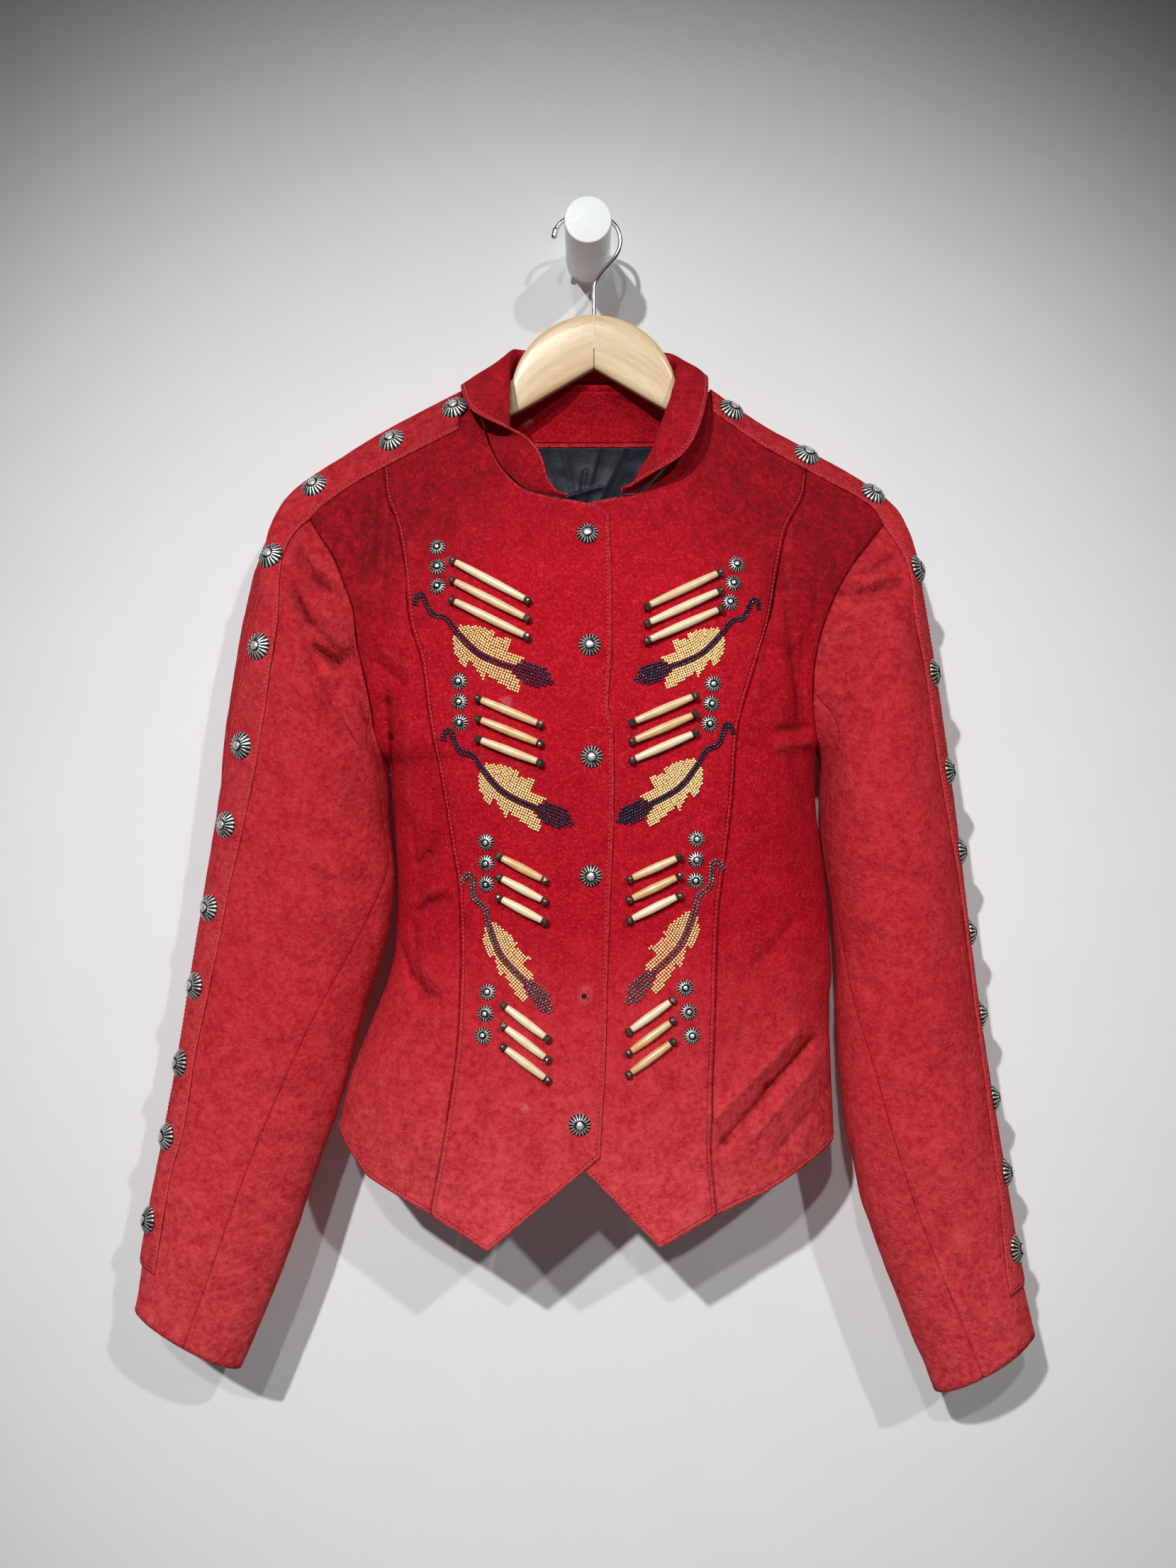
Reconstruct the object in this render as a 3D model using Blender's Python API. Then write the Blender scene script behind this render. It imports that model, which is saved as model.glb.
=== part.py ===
"""A red suede western jacket on its wooden hanger, the hanger's steel hook on a round wall peg.

Tables and sizes are in millimetres. The origin is the centre of the peg's round back face, on the
wall: x runs to the viewer's right, y into the wall and z up, so the jacket lies at y < 0.
Right and left in the names of cloth pieces are the wearer's.
"""

from math import cos, pi, radians, sin

import bmesh
import bpy
import numpy as np
from mathutils import Vector
from mathutils.bvhtree import BVHTree

for old in list(bpy.data.objects):
    bpy.data.objects.remove(old, do_unlink=True)

MM = 0.001
SUEDE = 1.6  # thickness of the suede panels
SEAM = 0.2  # each piece stands back this far from its seam line
REST = 0.5  # what lies on a panel clears it by this much


def table(names, *rows):
    """A table as one array for each named column."""
    return {name: np.array(column, float) for name, column in zip(names.split(), zip(*rows))}


def curve(keys, values, at):
    """A smooth curve through the points, read at one place, that never overshoots them."""
    order = np.argsort(keys)
    x = np.asarray(keys, float)[order]
    y = np.asarray(values, float)[order]
    gap = np.diff(x)
    rise = np.diff(y) / gap
    slope = np.concatenate([[rise[0]], np.zeros(len(x) - 2), [rise[-1]]])
    for i in range(1, len(x) - 1):
        if rise[i - 1] * rise[i] > 0:
            near, far = 2 * gap[i] + gap[i - 1], gap[i] + 2 * gap[i - 1]
            slope[i] = (near + far) / (near / rise[i - 1] + far / rise[i])
    at = min(max(at, x[0]), x[-1])
    k = min(max(int(np.searchsorted(x, at)) - 1, 0), len(gap) - 1)
    t = (at - x[k]) / gap[k]
    low = y[k] * (1 + 2 * t) * (1 - t) ** 2 + slope[k] * gap[k] * t * (1 - t) ** 2
    return low + y[k + 1] * t * t * (3 - 2 * t) - slope[k + 1] * gap[k] * t * t * (1 - t)


def read(tab, key, name, at):
    return curve(tab[key], tab[name], at)


def read_straight(tab, key, name, at):
    """Reads a line of straight runs between corners."""
    order = np.argsort(tab[key])
    return float(np.interp(at, tab[key][order], tab[name][order]))


def unit(v):
    return v / max(np.linalg.norm(v), 1e-9)


# The body's outline: the side seams, and how far the front and the back stand from the wall

BODY = table(
    "z     left   right   side  front  back",
    (-100, -238, 244, -50, -96, -14),
    (-200, -228, 240, -54, -110, -9),
    (-260, -208, 214, -57, -124, -7),
    (-300, -197, 198, -58, -132, -7),
    (-350, -178, 184, -58, -137, -8),
    (-375, -169, 180.5, -58, -138, -9),
    (-385, -166, 178.5, -58, -138, -10),
    (-394, -160.5, 173.5, -58, -138, -11),
    (-404, -151, 172.5, -58, -138, -11),
    (-430, -149, 173, -58, -136, -13),
    (-460, -146.5, 176.5, -58, -133, -15),
    (-500, -144.5, 181.5, -58, -129, -17),
    (-540, -146.5, 184.5, -59, -127, -17),
    (-562, -151, 185.5, -60, -128, -15),
    (-586, -160, 183, -60, -131, -12),
    (-613, -171, 184, -61, -134, -10),
    (-640, -181, 185, -62, -136, -9),
    (-680, -189, 186.5, -63, -138, -8),
    (-760, -194, 188, -64, -140, -8),
)

# The shoulders' top line, from the wearer's right cuff side to the left, and the neckline under the collar
RIDGE = table(
    "x z",
    (-240, -206),
    (-224, -193),
    (-212, -184),
    (-190, -170),
    (-163, -153),
    (-132, -136),
    (-97, -118),
    (-84, -111),
    (-60, -104),
    (0, -100),
    (60, -104),
    (80, -108),
    (91, -115),
    (115, -132),
    (136, -146),
    (157, -157),
    (178, -169),
    (203, -183),
    (226, -199),
    (236, -208),
    (252, -224),
)
NECK_RIGHT = table(
    "x z",
    (13.5, -219),
    (8, -214),
    (-2, -211),
    (-17, -208),
    (-32, -205),
    (-46, -201),
    (-56, -193),
    (-64, -184),
    (-72, -170),
    (-79, -150),
    (-84, -130),
    (-86, -119),
    (-87, -112.8),
)
NECK_LEFT = table(
    "x z",
    (-24, -214),
    (-2, -211),
    (15, -207.5),
    (26, -205.5),
    (36, -204),
    (50, -193),
    (60, -181),
    (68, -165),
    (74.5, -148),
    (79, -130),
    (81.4, -117),
    (82.4, -109.8),
)
NECK_POINT = (-87, 82.4)  # x where the neckline turns up to the shoulder, on each side
BACK_NECK_DROP = 8.0

RIDGE_Y = -48.0  # the shoulders' top line lies over the hanger
FRONT_NOSE, FRONT_FALL = 6.0, 0.5  # roundness of the shoulder's top and how fast the front falls forward
BACK_NOSE, BACK_FALL = 8.0, 0.6
FRONT_BOX, BACK_BOX = 2.8, 3.0  # how square the body's section is

# Creases of the hanging cloth: where each runs, how deep, how wide
FOLDS = table(
    "x_top z_top x_low z_low depth width",
    (-163, -205, -166, -290, 6, 11),
    (-136, -330, -148, -372, 5, 9),
    (-128, -372, -141, -400, 5, 8),
    (158, -315, 155, -372, 6, 9),
    (140, -255, 128, -330, 4, 10),
    (178, -592, 100, -640, 7, 12),
    (-131, -520, -122, -575, 4, 9),
    (-108, -440, -126, -500, 4, 10),
    (150, -520, 120, -560, 3, 12),
)

PRINCESS_RIGHT = table(
    "z x",
    (-130, -158),
    (-197, -152),
    (-229, -141),
    (-259, -135),
    (-300, -130),
    (-330, -121),
    (-368, -116),
    (-414, -107.5),
    (-460, -100),
    (-496, -94.5),
    (-542, -93),
    (-594, -94),
    (-660, -101.5),
    (-723, -113),
)
PRINCESS_LEFT = table(
    "z x",
    (-130, 170),
    (-195, 164),
    (-233, 146),
    (-259, 140.5),
    (-293, 134),
    (-335, 121),
    (-362, 112.5),
    (-379, 108.5),
    (-432, 104.5),
    (-469, 100),
    (-515, 94.5),
    (-584, 92),
    (-678, 88.5),
    (-723, 92),
)
PLACKET = table(
    "z x",
    (-200, 13.5),
    (-223, 15.5),
    (-281, 17),
    (-316, 17),
    (-361, 14.5),
    (-380, 18),
    (-432, 18.5),
    (-486, 16.5),
    (-557, 14),
    (-614, 12.5),
    (-675, 9),
    (-700, 8),
)
UNDERLAP = table("z x", (-200, -23), (-700, -23))

# Hems: two points in front, straight behind
HEM_RIGHT = table(
    "x z",
    (-196, -672),
    (-188, -677),
    (-161, -705),
    (-116, -726),
    (-72, -752),
    (8, -685),
    (20, -675),
)
HEM_LEFT = table(
    "x z",
    (-24, -674),
    (0, -697),
    (26, -723),
    (51.5, -749),
    (94, -726),
    (128, -713),
    (185, -684),
    (192, -680),
)
HEM_BACK = table(
    "x z",
    (-196, -680),
    (-100, -684),
    (0, -686),
    (100, -686),
    (192, -684),
)

# Armholes: x of the seam in front and behind at each height
ARMHOLE_RIGHT = table(
    "z     front  back",
    (-193, -224, -224),
    (-202, -219, -222),
    (-219, -209, -217),
    (-235, -199, -212),
    (-250, -189, -206),
    (-272, -180, -198),
    (-290, -173.5, -191),
    (-318, -170, -183),
    (-340, -165, -176),
    (-362, -161, -169),
    (-381, -159, -163),
    (-395, -154.5, -155.5),
    (-404, -151, -151),
)
ARMHOLE_LEFT = table(
    "z     front  back",
    (-208, 236, 236),
    (-214, 230, 234),
    (-223, 222.5, 230),
    (-236, 212, 224),
    (-255, 197, 214),
    (-277, 184, 204),
    (-297, 175.5, 196),
    (-318, 169.5, 189),
    (-341, 166.5, 183),
    (-362, 167, 179),
    (-380, 170, 176),
    (-394, 173.5, 173.5),
)

# Heights of the rows of points at each armhole: strip edges, sleeve seams and what lies between
ROWS_RIGHT = {
    "front": (-193, -202, -219, -246, -280, -320, -362, -383, -398, -404),
    "back": (-193, -194.4, -232, -272, -315, -355, -378, -395, -404),
}
ROWS_LEFT = {
    "front": (-208, -212, -223, -246, -276, -312, -350, -370, -385, -394),
    "back": (-208, -210, -243, -276, -312, -348, -370, -385, -394),
}
SKIRT_ROWS = 11  # rows of the fronts below the armhole
BACK_ROWS = 6


def blend_least(a, b):
    """Follows the smaller of two depths, rounding where they cross."""
    return (max(a, 0.01) ** -4 + max(b, 0.01) ** -4) ** -0.25


def section(x, z, box):
    """How full the body's oval section is at x: 1 in the middle, 0 at the side seams."""
    left, right = read(BODY, "z", "left", z), read(BODY, "z", "right", z)
    u = min(abs(2 * x - left - right) / (right - left), 1)
    return max(1 - u**box, 0) ** 0.5


def fold_depth(x, z):
    """How far the cloth sinks at a point, from the table of folds."""
    depth = 0
    for i in range(len(FOLDS["depth"])):
        ax, az = FOLDS["x_top"][i], FOLDS["z_top"][i]
        bx, bz = FOLDS["x_low"][i], FOLDS["z_low"][i]
        run = ((x - ax) * (bx - ax) + (z - az) * (bz - az)) / ((bx - ax) ** 2 + (bz - az) ** 2)
        along = min(max(run, 0), 1)
        off = ((x - ax - along * (bx - ax)) ** 2 + (z - az - along * (bz - az)) ** 2) ** 0.5
        depth += FOLDS["depth"][i] * np.exp(-((off / FOLDS["width"][i]) ** 2))
    return depth


def front_y(x, z):
    """The front's depth: the body's oval, drawn in to the shoulder's top line."""
    side, front = read(BODY, "z", "side", z), read(BODY, "z", "front", z)
    full = RIDGE_Y - side - (front - side) * section(x, z, FRONT_BOX)
    below = max(read(RIDGE, "x", "z", x) - z, 0)
    nose = (2 * FRONT_NOSE * below + (FRONT_FALL * below) ** 2) ** 0.5
    edge = min(nose / 20, 1) * min(section(x, z, FRONT_BOX) * 2, 1)
    return RIDGE_Y - blend_least(nose, full) + fold_depth(x, z) * edge


def back_y(x, z):
    side, back = read(BODY, "z", "side", z), read(BODY, "z", "back", z)
    full = side + (back - side) * section(x, z, BACK_BOX) - RIDGE_Y
    below = max(read(RIDGE, "x", "z", x) - z, 0)
    nose = (2 * BACK_NOSE * below + (BACK_FALL * below) ** 2) ** 0.5
    if full <= 0:
        return RIDGE_Y + full * min(nose / 20, 1)
    return RIDGE_Y + blend_least(nose, full)


def surface_normal(depth, x, z, sign):
    """The outward normal of a depth surface: sign is -1 for the front and 1 for the back."""
    step = 0.6
    slope_x = (depth(x + step, z) - depth(x - step, z)) / (2 * step)
    slope_z = (depth(x, z + step) - depth(x, z - step)) / (2 * step)
    return unit(np.array([-slope_x * sign, sign, -slope_z * sign]))


# Making meshes


def new_object(name, mesh, material):
    piece = bpy.data.objects.new(name, mesh)
    bpy.context.collection.objects.link(piece)
    mesh.materials.append(material)
    return piece


def finished(bm, name, material, smooth=True):
    bmesh.ops.recalc_face_normals(bm, faces=bm.faces)
    mesh = bpy.data.meshes.new(name)
    bm.to_mesh(mesh)
    bm.free()
    if smooth:
        mesh.shade_smooth()
        mesh.set_sharp_from_angle(angle=radians(35))
    return new_object(name, mesh, material)


def two_triangles(bm, a, b, c, d):
    """A four-sided face split along its first diagonal, so that pieces laid on each other match."""
    bm.faces.new((a, b, c))
    bm.faces.new((a, c, d))


def skin(bm, outer, inner):
    """A closed wall between two like grids of points."""
    columns, rows = outer.shape[0], outer.shape[1]
    top = [[bm.verts.new(outer[i, j] * MM) for j in range(rows)] for i in range(columns)]
    low = [[bm.verts.new(inner[i, j] * MM) for j in range(rows)] for i in range(columns)]
    for i in range(columns - 1):
        for j in range(rows - 1):
            two_triangles(bm, top[i][j], top[i + 1][j], top[i + 1][j + 1], top[i][j + 1])
            two_triangles(bm, low[i + 1][j + 1], low[i + 1][j], low[i][j], low[i][j + 1])
        two_triangles(bm, top[i][0], low[i][0], low[i + 1][0], top[i + 1][0])
        two_triangles(bm, top[i + 1][-1], low[i + 1][-1], low[i][-1], top[i][-1])
    for j in range(rows - 1):
        two_triangles(bm, top[0][j], top[0][j + 1], low[0][j + 1], low[0][j])
        two_triangles(bm, low[-1][j], low[-1][j + 1], top[-1][j + 1], top[-1][j])


def wall(name, points, normals, material, thickness=SUEDE, lift=0.0):
    """A cloth wall on a grid of points, lifted off them and thickened outwards or inwards."""
    outer = points + normals * lift
    inner = points + normals * (lift - thickness)
    bm = bmesh.new()
    skin(bm, outer, inner)
    return finished(bm, name, material)


def make_material(name, colour, roughness, metallic=0.0):
    material = bpy.data.materials.new(name)
    material.use_nodes = True
    shader = material.node_tree.nodes["Principled BSDF"]
    shader.inputs["Base Color"].default_value = (*colour, 1)
    shader.inputs["Roughness"].default_value = roughness
    shader.inputs["Metallic"].default_value = metallic
    return material


SUEDE_RED = make_material("suede_red", (0.46, 0.018, 0.022), 0.9)
SATIN_NAVY = make_material("satin_navy", (0.012, 0.016, 0.032), 0.4)
SILVER = make_material("antique_silver", (0.42, 0.42, 0.41), 0.35, 1.0)
BONE = make_material("bone", (0.75, 0.55, 0.27), 0.45)
BEADS = make_material("seed_beads", (0.80, 0.55, 0.22), 0.4)
MAPLE = make_material("maple", (0.72, 0.50, 0.26), 0.5)
CHROME = make_material("chrome", (0.60, 0.60, 0.62), 0.15, 1.0)
WHITE_PAINT = make_material("white_paint", (0.80, 0.80, 0.80), 0.5)


# Body panels: grids between two edges, a hem and a top line


def panel_points(left, right, hem, top, depth, across_low, across_top, up):
    """Points and normals of a panel: one column for each fraction across, one row for each fraction up."""
    sign = -1 if depth is not back_y else 1
    points = np.zeros((len(across_low), len(up(0)), 3))
    normals = np.zeros_like(points)
    for i, (low, high) in enumerate(zip(across_low, across_top)):

        def x_at(z, share):
            return left(z) + (right(z) - left(z)) * share

        ends = []
        for line, share in ((hem, low), (top, high)):
            z = line(x_at(-400, share))
            for _ in range(30):
                z = 0.5 * z + 0.5 * line(x_at(z, share))
            ends.append(z)
        share_up = up(i / (len(across_low) - 1))
        for j, t in enumerate(share_up):
            z = ends[0] + (ends[1] - ends[0]) * t
            x = x_at(z, low + (high - low) * t)
            points[i, j] = x, depth(x, z), z
            normals[i, j] = surface_normal(depth, x, z, sign)
    return points, normals


def row_shares(rows, hem_z, below):
    """Fractions up a side edge: even steps below the armhole, then the armhole's own rows."""
    top, underarm = rows[0], rows[-1]
    heights = list(np.linspace(hem_z, underarm, below + 1)) + list(rows[::-1])[1:]
    return np.array([(z - hem_z) / (top - hem_z) for z in heights])


def side_edge(side, face):
    """x of a body panel's outer edge at any height: the side seam, then the armhole."""
    column, armhole = ("left", ARMHOLE_RIGHT) if side == "right" else ("right", ARMHOLE_LEFT)
    underarm = armhole["z"].min()
    inward = 1 if side == "right" else -1

    def x_at(z):
        if z >= underarm:
            return read(armhole, "z", face, z) + inward * SEAM
        return read(BODY, "z", column, z)

    return x_at


SIDE_HEM_X = (-189, 187)  # where the side seams reach the hem
shares_right = row_shares(ROWS_RIGHT["front"], read(HEM_RIGHT, "x", "z", SIDE_HEM_X[0]), SKIRT_ROWS)
shares_left = row_shares(ROWS_LEFT["front"], read(HEM_LEFT, "x", "z", SIDE_HEM_X[1]), SKIRT_ROWS)
back_right = row_shares(ROWS_RIGHT["back"], read(HEM_BACK, "x", "z", SIDE_HEM_X[0]), BACK_ROWS)
back_left = row_shares(ROWS_LEFT["back"], read(HEM_BACK, "x", "z", SIDE_HEM_X[1]), BACK_ROWS)


def top_line(side):
    neck, point = (NECK_RIGHT, NECK_POINT[0]) if side == "right" else (NECK_LEFT, NECK_POINT[1])

    def z_at(x):
        over = x <= point if side == "right" else x >= point
        return read(RIDGE, "x", "z", x) if over else read(neck, "x", "z", x)

    return z_at


def princess(side, shift):
    seam = PRINCESS_RIGHT if side == "right" else PRINCESS_LEFT
    return lambda z: read(seam, "z", "x", z) + shift


# Where the columns of points stand, as shares of the way from the placket to the princess seam
CENTRE_COLUMNS_RIGHT = table(
    "hem top",
    (0, 0),
    (0.10, 0.08),
    (0.24, 0.20),
    (0.38, 0.33),
    (0.52, 0.44),
    (0.60, 0.506),
    (0.66, 0.548),
    (0.71, 0.573),
    (0.76, 0.5835),
    (0.82, 0.5965),
    (0.91, 0.79),
    (1, 1),
)
CENTRE_COLUMNS_LEFT = table(
    "hem top",
    (0, 0),
    (0.18, 0.185),
    (0.34, 0.25),
    (0.44, 0.315),
    (0.54, 0.42),
    (0.60, 0.475),
    (0.648, 0.508),
    (0.70, 0.53),
    (0.75, 0.5415),
    (0.81, 0.5525),
    (0.90, 0.77),
    (1, 1),
)
NECK_COLUMN = 9  # the column that ends where the neckline meets the shoulder
SIDE_COLUMNS = (0, 0.2, 0.4, 0.58, 0.74, 0.87, 0.96, 1)


def front_panels(side):
    """The centre and side fronts of one side, as grids that share the rows of their seam."""
    if side == "right":
        inward, shares, hem_table, edge_table, depth = 1, shares_right, HEM_RIGHT, PLACKET, front_y
        columns = CENTRE_COLUMNS_RIGHT
    else:
        inward, shares, hem_table, edge_table, depth = -1, shares_left, HEM_LEFT, UNDERLAP, under_front_y
        columns = CENTRE_COLUMNS_LEFT

    def edge(z):
        return read(edge_table, "z", "x", z)

    def hem(x):
        return read_straight(hem_table, "x", "z", x)

    def shoulder(x):
        return read(RIDGE, "x", "z", x)

    def up(across):
        return shares

    seam_in, seam_out = princess(side, inward * SEAM), princess(side, -inward * SEAM)
    low, high = columns["hem"], columns["top"]
    centre = panel_points(edge, seam_in, hem, top_line(side), depth, low, high, up)
    outer = side_edge(side, "front")
    sides = panel_points(seam_out, outer, hem, shoulder, front_y, SIDE_COLUMNS, SIDE_COLUMNS, up)
    return centre, sides


LAP_SINK = SUEDE + 1.0  # the under front lies this far below the upper one


def under_front_y(x, z):
    """The wearer's left front: it sinks under the other at the placket and comes up beyond its edge."""
    edge = read(PLACKET, "z", "x", z)
    rise = min(max((x - edge - 5) / 18, 0), 1)
    return front_y(x, z) + LAP_SINK * (1 - rise * rise * (3 - 2 * rise))


centre_right, side_right = front_panels("right")
centre_left, side_left = front_panels("left")

BACK_COLUMNS = np.array(
    (-224, -220, -209, -190, -163, -132, -105, -87.6, -60, -20)
    + (20, 60, 83, 100, 125, 152, 180, 206, 224, 232, 236)
)
BACK_SHARES = (BACK_COLUMNS - BACK_COLUMNS[0]) / (BACK_COLUMNS[-1] - BACK_COLUMNS[0])


def back_top(x):
    return read(RIDGE, "x", "z", x) - BACK_NECK_DROP * max(1 - (x / 84) ** 2, 0)


back = panel_points(
    side_edge("right", "back"),
    side_edge("left", "back"),
    lambda x: read(HEM_BACK, "x", "z", x),
    back_top,
    back_y,
    BACK_SHARES,
    BACK_SHARES,
    lambda a: back_right + (back_left - back_right) * a,
)

# Sleeves: oval sections between an outer and an inner line, from the armhole to a slanted cuff

SLEEVE_RIGHT = table(
    "s     out_x  out_z  in_x   in_z   mid  front back",
    (0.00, -224, -193, -151, -404, -60, 42, 42),
    (0.02, -231, -201, -151.5, -405.5, -60, 44, 43),
    (0.06, -240, -221, -152, -409, -61, 47, 45),
    (0.14, -254, -262, -152, -417, -61, 50, 46),
    (0.24, -266, -316, -151.5, -432, -61, 50, 46),
    (0.34, -274, -372, -149.5, -456, -61, 47, 45),
    (0.46, -281, -436, -146.5, -487, -62, 42, 42),
    (0.58, -290, -503, -151, -527, -63, 38, 38),
    (0.68, -299, -563, -167, -584, -65, 36, 36),
    (0.78, -308, -625, -183, -644, -68, 34, 34),
    (0.87, -320, -692, -205, -711, -71, 31, 31),
    (0.94, -331, -752, -230, -784, -74, 28, 28),
    (1.00, -340, -811, -260, -856, -76, 25, 25),
)
SLEEVE_LEFT = table(
    "s     out_x  out_z  in_x   in_z   mid  front back",
    (0.00, 236, -208, 173.5, -394, -60, 44, 44),
    (0.02, 239.5, -217, 174, -395.5, -60, 46, 45),
    (0.06, 245, -236, 175.5, -398, -61, 49, 47),
    (0.14, 251, -272, 176.5, -408, -62, 52, 48),
    (0.24, 259, -322, 176.5, -428, -62, 53, 49),
    (0.34, 267, -375, 177, -456, -62, 52, 49),
    (0.46, 276, -441, 181, -488, -63, 49, 47),
    (0.58, 284, -508, 187, -533, -64, 45, 45),
    (0.68, 291, -567, 188, -590, -66, 42, 42),
    (0.78, 301, -638, 192, -655, -68, 39, 39),
    (0.87, 312, -708, 204, -722, -71, 36, 36),
    (0.94, 321, -766, 226, -788, -74, 32, 32),
    (1.00, 335, -830, 260.5, -873, -76, 27, 27),
)
STRIP_RIGHT = table(
    "s     middle half",
    (0.00, 18, 21),
    (0.06, 28, 18),
    (0.10, 42, 16.5),
    (0.14, 49, 16.5),
    (0.24, 50, 16.5),
    (0.34, 46, 16.5),
    (0.46, 37, 16),
    (0.58, 29, 15),
    (0.68, 26, 14.5),
    (0.78, 21, 14),
    (0.84, 24, 14),
    (0.89, 17, 14),
    (0.94, 19, 14),
    (1.00, 22, 14),
)
STRIP_LEFT = table(
    "s     middle half",
    (0.00, 8, 20),
    (0.06, 18, 17.5),
    (0.10, 26, 16.5),
    (0.14, 30, 16.5),
    (0.24, 25, 16.5),
    (0.34, 24, 16.5),
    (0.46, 18, 16),
    (0.58, 7, 15),
    (0.68, 5, 14.5),
    (0.78, 6, 14),
    (0.84, 10, 14),
    (0.89, 13, 14),
    (0.94, 21, 14),
    (1.00, 30, 14),
)
SEAMS = table(
    "s  front_right back_right front_left back_left",
    (0.00, 127, 124, 122, 120),
    (0.08, 138, 130, 134, 128),
    (0.20, 155, 140, 160, 142),
    (0.40, 164, 145, 172, 148),
    (0.52, 150, 135, 168, 140),
    (0.64, 130, 122, 150, 128),
    (0.76, 112, 112, 125, 116),
    (0.88, 100, 104, 112, 108),
    (1.00, 92, 98, 100, 100),
)
SLEEVE_ROWS = (
    (0, 0.02, 0.045, 0.08, 0.12, 0.17, 0.23, 0.29, 0.35, 0.41)
    + (0.47, 0.53, 0.59, 0.65, 0.71, 0.77, 0.82, 0.87, 0.92, 0.965, 1)
)
STRIP_END = 19  # the strip ends at this row of the sleeve
SLEEVE_FOLDS = table(
    "s angle depth width_s width_angle right left",
    (0.085, 95, 6, 0.03, 32, 1, 0),
    (0.16, 120, 7, 0.03, 26, 1, 0),
    (0.10, 110, 6, 0.03, 30, 0, 1),
    (0.19, 125, 4, 0.03, 26, 0, 1),
    (0.60, 150, 4, 0.04, 22, 1, 1),
    (0.66, 165, 4, 0.04, 20, 1, 0),
    (0.90, 75, 3, 0.03, 26, 0, 1),
)


def sleeve_section(side, s, angle):
    """A point of the sleeve's oval section: 0 degrees is its outer line, 180 its inner one."""
    tab = SLEEVE_RIGHT if side == "right" else SLEEVE_LEFT
    out = np.array([read(tab, "s", "out_x", s), 0, read(tab, "s", "out_z", s)])
    inner = np.array([read(tab, "s", "in_x", s), 0, read(tab, "s", "in_z", s)])
    turn = radians(angle)
    depth = read(tab, "s", "front" if sin(turn) > 0 else "back", s)
    for i in range(len(SLEEVE_FOLDS["s"])):
        if SLEEVE_FOLDS[side][i]:
            ds = (s - SLEEVE_FOLDS["s"][i]) / SLEEVE_FOLDS["width_s"][i]
            da = (angle % 360 - SLEEVE_FOLDS["angle"][i]) / SLEEVE_FOLDS["width_angle"][i]
            depth -= SLEEVE_FOLDS["depth"][i] * np.exp(-ds * ds - da * da)
    middle = (out + inner) / 2 + (out - inner) / 2 * cos(turn)
    return middle + np.array([0, read(tab, "s", "mid", s) - depth * sin(turn), 0])


def strip_edges(side, s):
    """The strip's two edges on a section, in degrees: its middle and half its width each way."""
    tab = STRIP_RIGHT if side == "right" else STRIP_LEFT
    middle, half = read(tab, "s", "middle", s), read(tab, "s", "half", s)
    size = np.linalg.norm(sleeve_section(side, s, middle + 5) - sleeve_section(side, s, middle - 5)) / 10
    return middle - half / size, middle + half / size


def column_angles(side, s):
    """Angles of the sleeve's columns of points: strip, upper front, under sleeve, upper back."""
    back_edge, front_edge = strip_edges(side, s)
    front_seam = read(SEAMS, "s", f"front_{side}", s)
    back_seam = 360 - read(SEAMS, "s", f"back_{side}", s)
    strip = [back_edge + (front_edge - back_edge) * k / 3 for k in range(4)]
    upper = [front_edge + (front_seam - front_edge) * k / 4 for k in range(1, 5)]
    under = [front_seam + (180 - front_seam) * k / 3 for k in range(1, 4)]
    under += [180 + (back_seam - 180) * k / 3 for k in range(1, 4)]
    behind = [back_seam + (360 + back_edge - back_seam) * k / 4 for k in range(1, 4)]
    return strip + upper + under + behind


FRONT_SEAM_COLUMN, BACK_SEAM_COLUMN = 7, 13


def armhole_loop(side):
    """The armhole's points in the order of the sleeve's columns, on the body's own surface."""
    rows = ROWS_RIGHT if side == "right" else ROWS_LEFT
    armhole = ARMHOLE_RIGHT if side == "right" else ARMHOLE_LEFT
    outward = -SEAM if side == "right" else SEAM
    faces = [("back", rows["back"][1])] + [("front", z) for z in rows["front"]]
    faces += [("back", z) for z in rows["back"][:1:-1]][1:]
    loop = []
    for face, z in faces:
        x = read(armhole, "z", face, z)
        y = front_y(x, z) if face == "front" else back_y(x, z)
        loop.append((x + outward, y, z))
    return np.array(loop)


JOIN = 0.1  # over this much of its length the sleeve goes from the armhole's loop to its own section


def sleeve_points(side):
    """The whole sleeve as one closed grid, and its outward normals."""
    loop = armhole_loop(side)
    columns = len(loop)
    points = np.zeros((columns, len(SLEEVE_ROWS), 3))
    start = np.array([sleeve_section(side, 0, a) for a in column_angles(side, 0)])
    for j, s in enumerate(SLEEVE_ROWS):
        keep = max(1 - s / JOIN, 0) ** 1.5
        for i, angle in enumerate(column_angles(side, s)):
            points[i, j] = sleeve_section(side, s, angle) + (loop[i] - start[i]) * keep
    normals = np.zeros_like(points)
    for i in range(columns):
        for j in range(len(SLEEVE_ROWS)):
            around = points[(i + 1) % columns, j] - points[i - 1, j]
            down = points[i, min(j + 1, len(SLEEVE_ROWS) - 1)] - points[i, max(j - 1, 0)]
            normals[i, j] = unit(np.cross(around, down))
    inside = (normals[:, 1:-1] * 2 + normals[:, :-2] + normals[:, 2:]) / 4
    normals[:, 1:-1] = (inside * 2 + np.roll(inside, 1, axis=0) + np.roll(inside, -1, axis=0)) / 4
    normals /= np.linalg.norm(normals, axis=2, keepdims=True)
    middle = points[:, 10].mean(axis=0)
    if np.dot(normals[0, 10], points[0, 10] - middle) < 0:
        normals = -normals
    return points, normals


sleeves = {side: sleeve_points(side) for side in ("right", "left")}


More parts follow.
